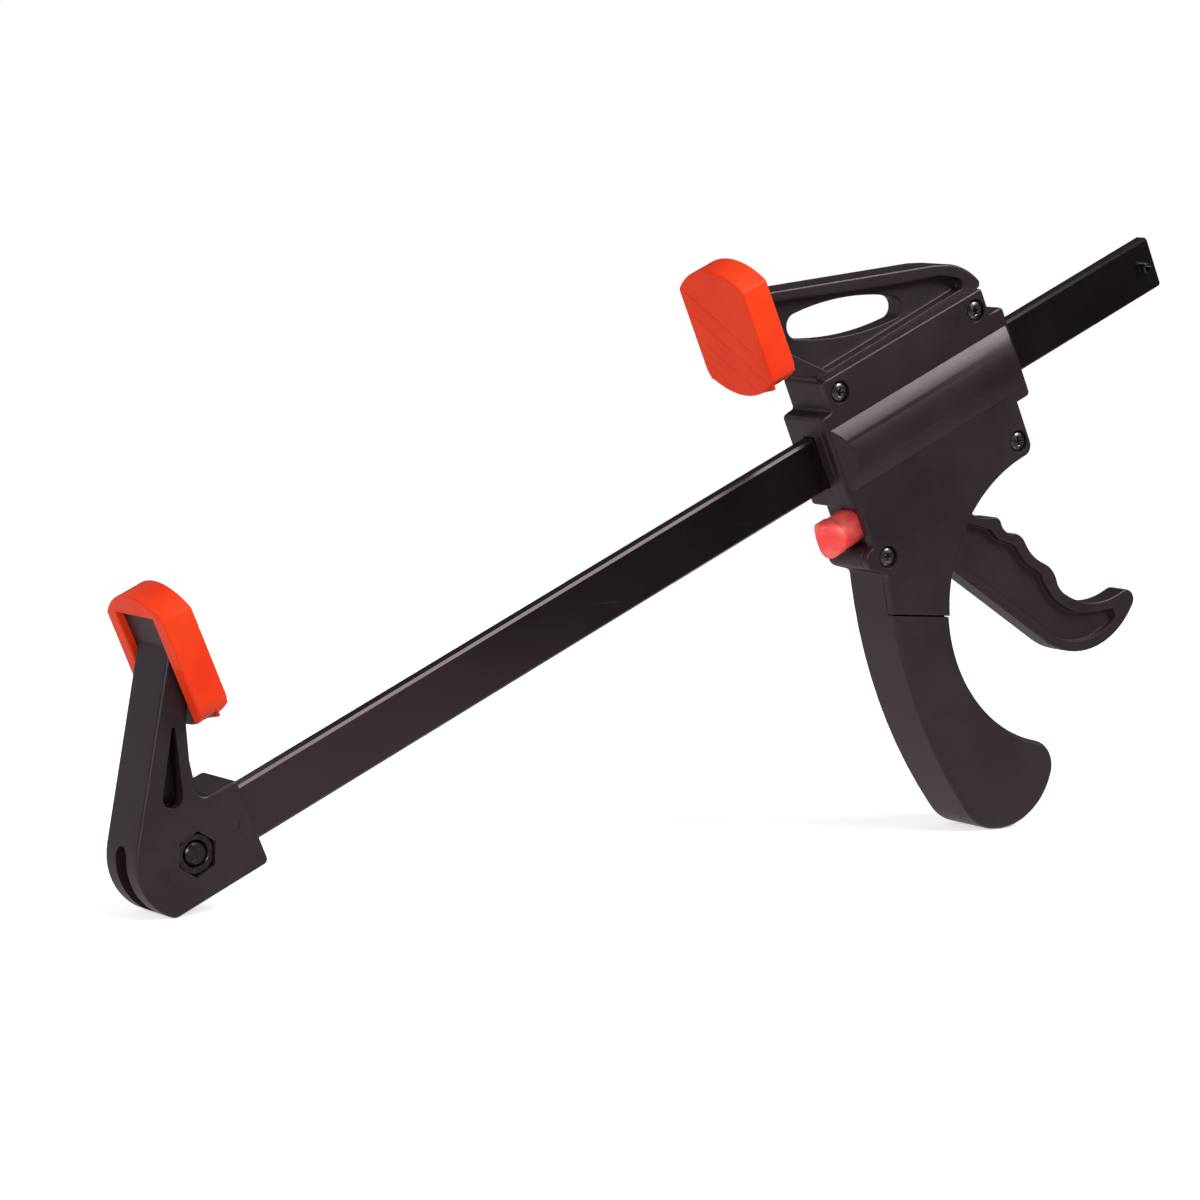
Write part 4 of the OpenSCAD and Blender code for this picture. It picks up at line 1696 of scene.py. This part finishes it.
@dataclass
class ReleaseButton:
    """Red button with a roof shaped, domed front, along the bar."""

    radius: float = 7.0
    neck: float = 6.6
    front: float = -10.8
    waist: float = -3.5
    ridge: float = 1.8
    flank: float = 43.3
    dome: float = 12.0
    lip: float = 0.9
    stop: Point = (8.3, 9.8)
    stop_high: float = 0.6
    spigot: Point = (2.0, 12.85)

    def set_back(self, spot: Vector) -> Vector:
        """Moves a place of the plain round cap back to the roof shaped one.

        Args:
            spot: The place on the cap.

        Returns:
            Where it goes.
        """
        rim = self.front + self.lip
        share = min(1.0, max(0.0, (self.waist - spot.x) / (self.waist - rim)))
        lean = math.radians(self.flank)
        y = abs(spot.y)
        if y < self.ridge * math.sin(lean):
            roof = self.ridge - math.sqrt(self.ridge**2 - y**2)
        else:
            roof = y * math.tan(lean) - self.ridge * (1 / math.cos(lean) - 1)
        dome = self.dome - math.sqrt(self.dome**2 - spot.z**2)
        return Vector((spot.x + share * math.hypot(roof, dome), spot.y, spot.z))

    def make(self) -> Solid:
        """Moulds the button.

        Returns:
            The button.
        """
        radius, front, lip, waist, neck = self.radius, self.front, self.lip, self.waist, self.neck
        rim = front + lip
        face = [(radius * r, front) for r in (0.0, 0.15, 0.3, 0.45, 0.6, 0.74)]
        turns = (0.0, 0.39, 0.79, 1.18, 1.57)
        edge = [(radius - lip + lip * math.sin(t), rim - lip * math.cos(t)) for t in turns]
        side = [(radius, rim + (waist - rim) * r) for r in (0.2, 0.4, 0.6, 0.8, 1.0)]
        (near, far), collar, (thin, back) = self.stop, radius + self.stop_high, self.spigot
        profile = [
            *face, *edge, *side, (neck - 0.05, waist + 1.0), (neck, waist + 2.1), (neck, near),
            (collar, near), (collar, far), (thin, far), (thin, back), (0.0, back),
        ]
        return Solid.turned(profile, (0.0, 0.0), Plane.END, 96).shaped(self.set_back)

    def build(self, shop: Shop, height: float) -> None:
        """Makes and dresses the button.

        Args:
            shop: What it is made with.
            height: Height of its axis on the head.
        """
        place, finish = shop.placing.head @ shift(z=height), Finishes.button
        shop.hand_over(self.make(), "button_cap", "release_button", "button", finish, place, 40.0)


@dataclass
class Works:
    """Pieces inside the head that keep their solids."""

    plated: tuple[str, ...] = (
        "trigger_pin", "spring_seat", "drive_plate_front", "drive_plate_rear", "brake_plate",
    )
    wound: tuple[str, ...] = ("drive_spring", "brake_spring")

    def build(self, shop: Shop) -> None:
        """Dresses the plates, the pin, the seat and the springs.

        Args:
            shop: What the pieces are made with.
        """
        for node in self.plated:
            shop.dress(node, Finishes.bright)
        for node in self.wound:
            shop.dress(node, Finishes.spring)


# ---------------------------------------------------------------- studio


@dataclass
class Studio:
    """Pale round table, soft lamps and the camera."""

    table: float = 0.9
    drop: float = 0.0002
    grey: float = 0.8
    shown_white: float = 0.6
    # Tint, centre, fade distances and strength of the painted pool of light that gloss rays see on
    # the table.
    painted_gleam: Colour = (1.0, 0.88, 0.93)
    lit_at: Place = (-0.25, -0.05, 0.0)
    painted_pool: Point = (0.45, 0.9)
    pool_light: float = 0.62
    pool_fade: float = 0.58
    eye: Place = (-534.5, -1182.0, 493.5)
    right: Place = (0.75088, -0.57622, -0.32271)
    down: Place = (-0.45743, -0.10130, -0.88346)
    lens: float = 125.4
    film: float = 36.0
    raised: float = -0.00125
    sight: Point = (0.05, 50.0)
    aim: Place = (0.0, 0.0, 0.1)
    lamps: tuple[tuple[str, Place, float, float], ...] = (
        ("lamp_key", (0.85, -0.95, 1.13), 0.65, 20.0),
        ("lamp_top", (0.05, -0.5, 1.5), 0.7, 5.5),
        ("lamp_side", (-1.45, -0.7, 0.62), 0.5, 12.0),
        ("lamp_back", (-0.45, 1.2, 0.45), 1.4, 2.0),
    )
    fill: float = 0.34
    shown: tuple[tuple[str, float], ...] = (
        ("Is Glossy Ray", 0.07), ("Is Camera Ray", 1.0), ("Is Transmission Ray", 1.0)
    )

    def lay_floor(self) -> None:
        """Lays the floor, a table that is white to the camera and takes the clamp's shadow; to
        gloss rays it glows as a painted pool of light, a painted reflection.
        """
        Solid.clear()
        bpy.ops.mesh.primitive_circle_add(
            vertices=96, radius=self.table, fill_type="NGON", location=(0.0, 0.0, -self.drop)
        )
        floor = bpy.context.active_object
        floor.name = "studio_floor"
        recipe = Recipe(bpy.data.materials.new("studio_floor"))
        rays = recipe.node("ShaderNodeLightPath").outputs
        grey = (self.grey, self.grey, self.grey, 1.0)
        shade = recipe.node("ShaderNodeBsdfDiffuse", None, {"Color": grey})
        seen = Value(recipe, rays["Is Camera Ray"]) * self.shown_white
        glow = recipe.node("ShaderNodeEmission", None, {"Color": WHITE, "Strength": seen})
        table = recipe.node("ShaderNodeAddShader", None, {0: shade.outputs[0], 1: glow.outputs[0]})
        # Painted reflection: to gloss rays the table glows, brightest near lit_at and fading with
        # distance, a painted pool of light.
        away = recipe.node(
            "ShaderNodeVectorMath", {"operation": "DISTANCE"}, {0: recipe.place(), 1: self.lit_at}
        ).outputs["Value"]
        painted_pool = self.pool_light - Value(recipe, away).rise(*self.painted_pool) * self.pool_fade
        rosy = {"Color": (*self.painted_gleam, 1.0), "Strength": painted_pool}
        painted_gleam = recipe.node("ShaderNodeEmission", None, rosy)
        either = recipe.node(
            "ShaderNodeMixShader", None,
            {0: rays["Is Glossy Ray"], 1: table.outputs[0], 2: painted_gleam.outputs[0]},
        )
        recipe.node("ShaderNodeOutputMaterial", None, {"Surface": either.outputs[0]})
        floor.data.materials.append(recipe.owner)

    def hang_lamps(self) -> None:
        """Hangs the lamps, which the camera doesn't see."""
        for name, spot, size, power in self.lamps:
            data = bpy.data.lights.new(name, "AREA")
            data.shape = "DISK"
            data.size = size
            data.energy = power
            lamp = bpy.data.objects.new(name, data)
            lamp.location = spot
            lamp.visible_camera = False
            beam = Vector(self.aim) - Vector(spot)
            lamp.rotation_euler = beam.to_track_quat("-Z", "Y").to_euler()
            bpy.context.scene.collection.objects.link(lamp)

    def set_world(self) -> None:
        """Sets the world: a soft fill, dim to the gloss and white to the camera."""
        world = Recipe(bpy.data.worlds.new("studio"))
        rays = world.node("ShaderNodeLightPath").outputs

        def light(strength: float) -> bpy.types.NodeSocket:
            """White light of some strength."""
            feeds = {"Color": WHITE, "Strength": strength}
            return world.node("ShaderNodeBackground", None, feeds).outputs[0]

        seen = light(self.fill)
        for ray, strength in self.shown:
            feeds = {0: rays[ray], 1: seen, 2: light(strength)}
            seen = world.node("ShaderNodeMixShader", None, feeds).outputs[0]
        world.node("ShaderNodeOutputWorld", None, {0: seen})
        bpy.context.scene.world = world.owner

    def set_camera(self, placing: Placing) -> None:
        """Sets the camera on its tripod.

        Args:
            placing: Where the clamp lies.
        """
        turn = placing.clamp.to_3x3().normalized()
        right, up = turn @ Vector(self.right), -(turn @ Vector(self.down))
        data = bpy.data.cameras.new("camera")
        data.sensor_width, data.lens, data.shift_y = self.film, self.lens, self.raised
        data.clip_start, data.clip_end = self.sight
        camera = bpy.data.objects.new("camera", data)
        axes = Matrix((right, up, right.cross(up))).transposed().to_4x4()
        camera.matrix_world = Matrix.Translation(placing.clamp @ Vector(self.eye)) @ axes
        bpy.context.scene.collection.objects.link(camera)
        bpy.context.scene.camera = camera

    def build(self, placing: Placing) -> None:
        """Sets up the studio.

        Args:
            placing: Where the clamp lies.
        """
        self.set_camera(placing)
        self.lay_floor()
        self.hang_lamps()
        self.set_world()
        bpy.context.scene.view_settings.view_transform = "Standard"


@dataclass
class Clamp:
    """The whole clamp and how its parts stand to each other."""

    opening: float = 240.0
    face: float = 5.0
    reach: float = 19.5

    @property
    def head_x(self) -> float:
        """Where the head's zero lies along the bar."""
        return self.face + self.opening + self.reach

    def build(self) -> None:
        """Builds the studio and every piece, in order."""
        head = Head()
        placing = Placing.of_joints(frame["joints"], self.head_x, head.pivot)
        Studio().build(placing)
        shop = Shop(placing, frame["nodes"])
        Bar().build(shop)
        FixedJaw().build(shop)
        Pad().build(shop, self.head_x, self.face, self.reach)
        head.build(shop)
        Trigger().build(shop, head.pivot)
        ReleaseButton().build(shop, head.button_z)
        Works().build(shop)


def main() -> None:
    """Builds the clamp."""
    logging.basicConfig(level=logging.INFO, format="%(name)s: %(message)s")
    Clamp().build()


if __name__ == "__main__":
    main()
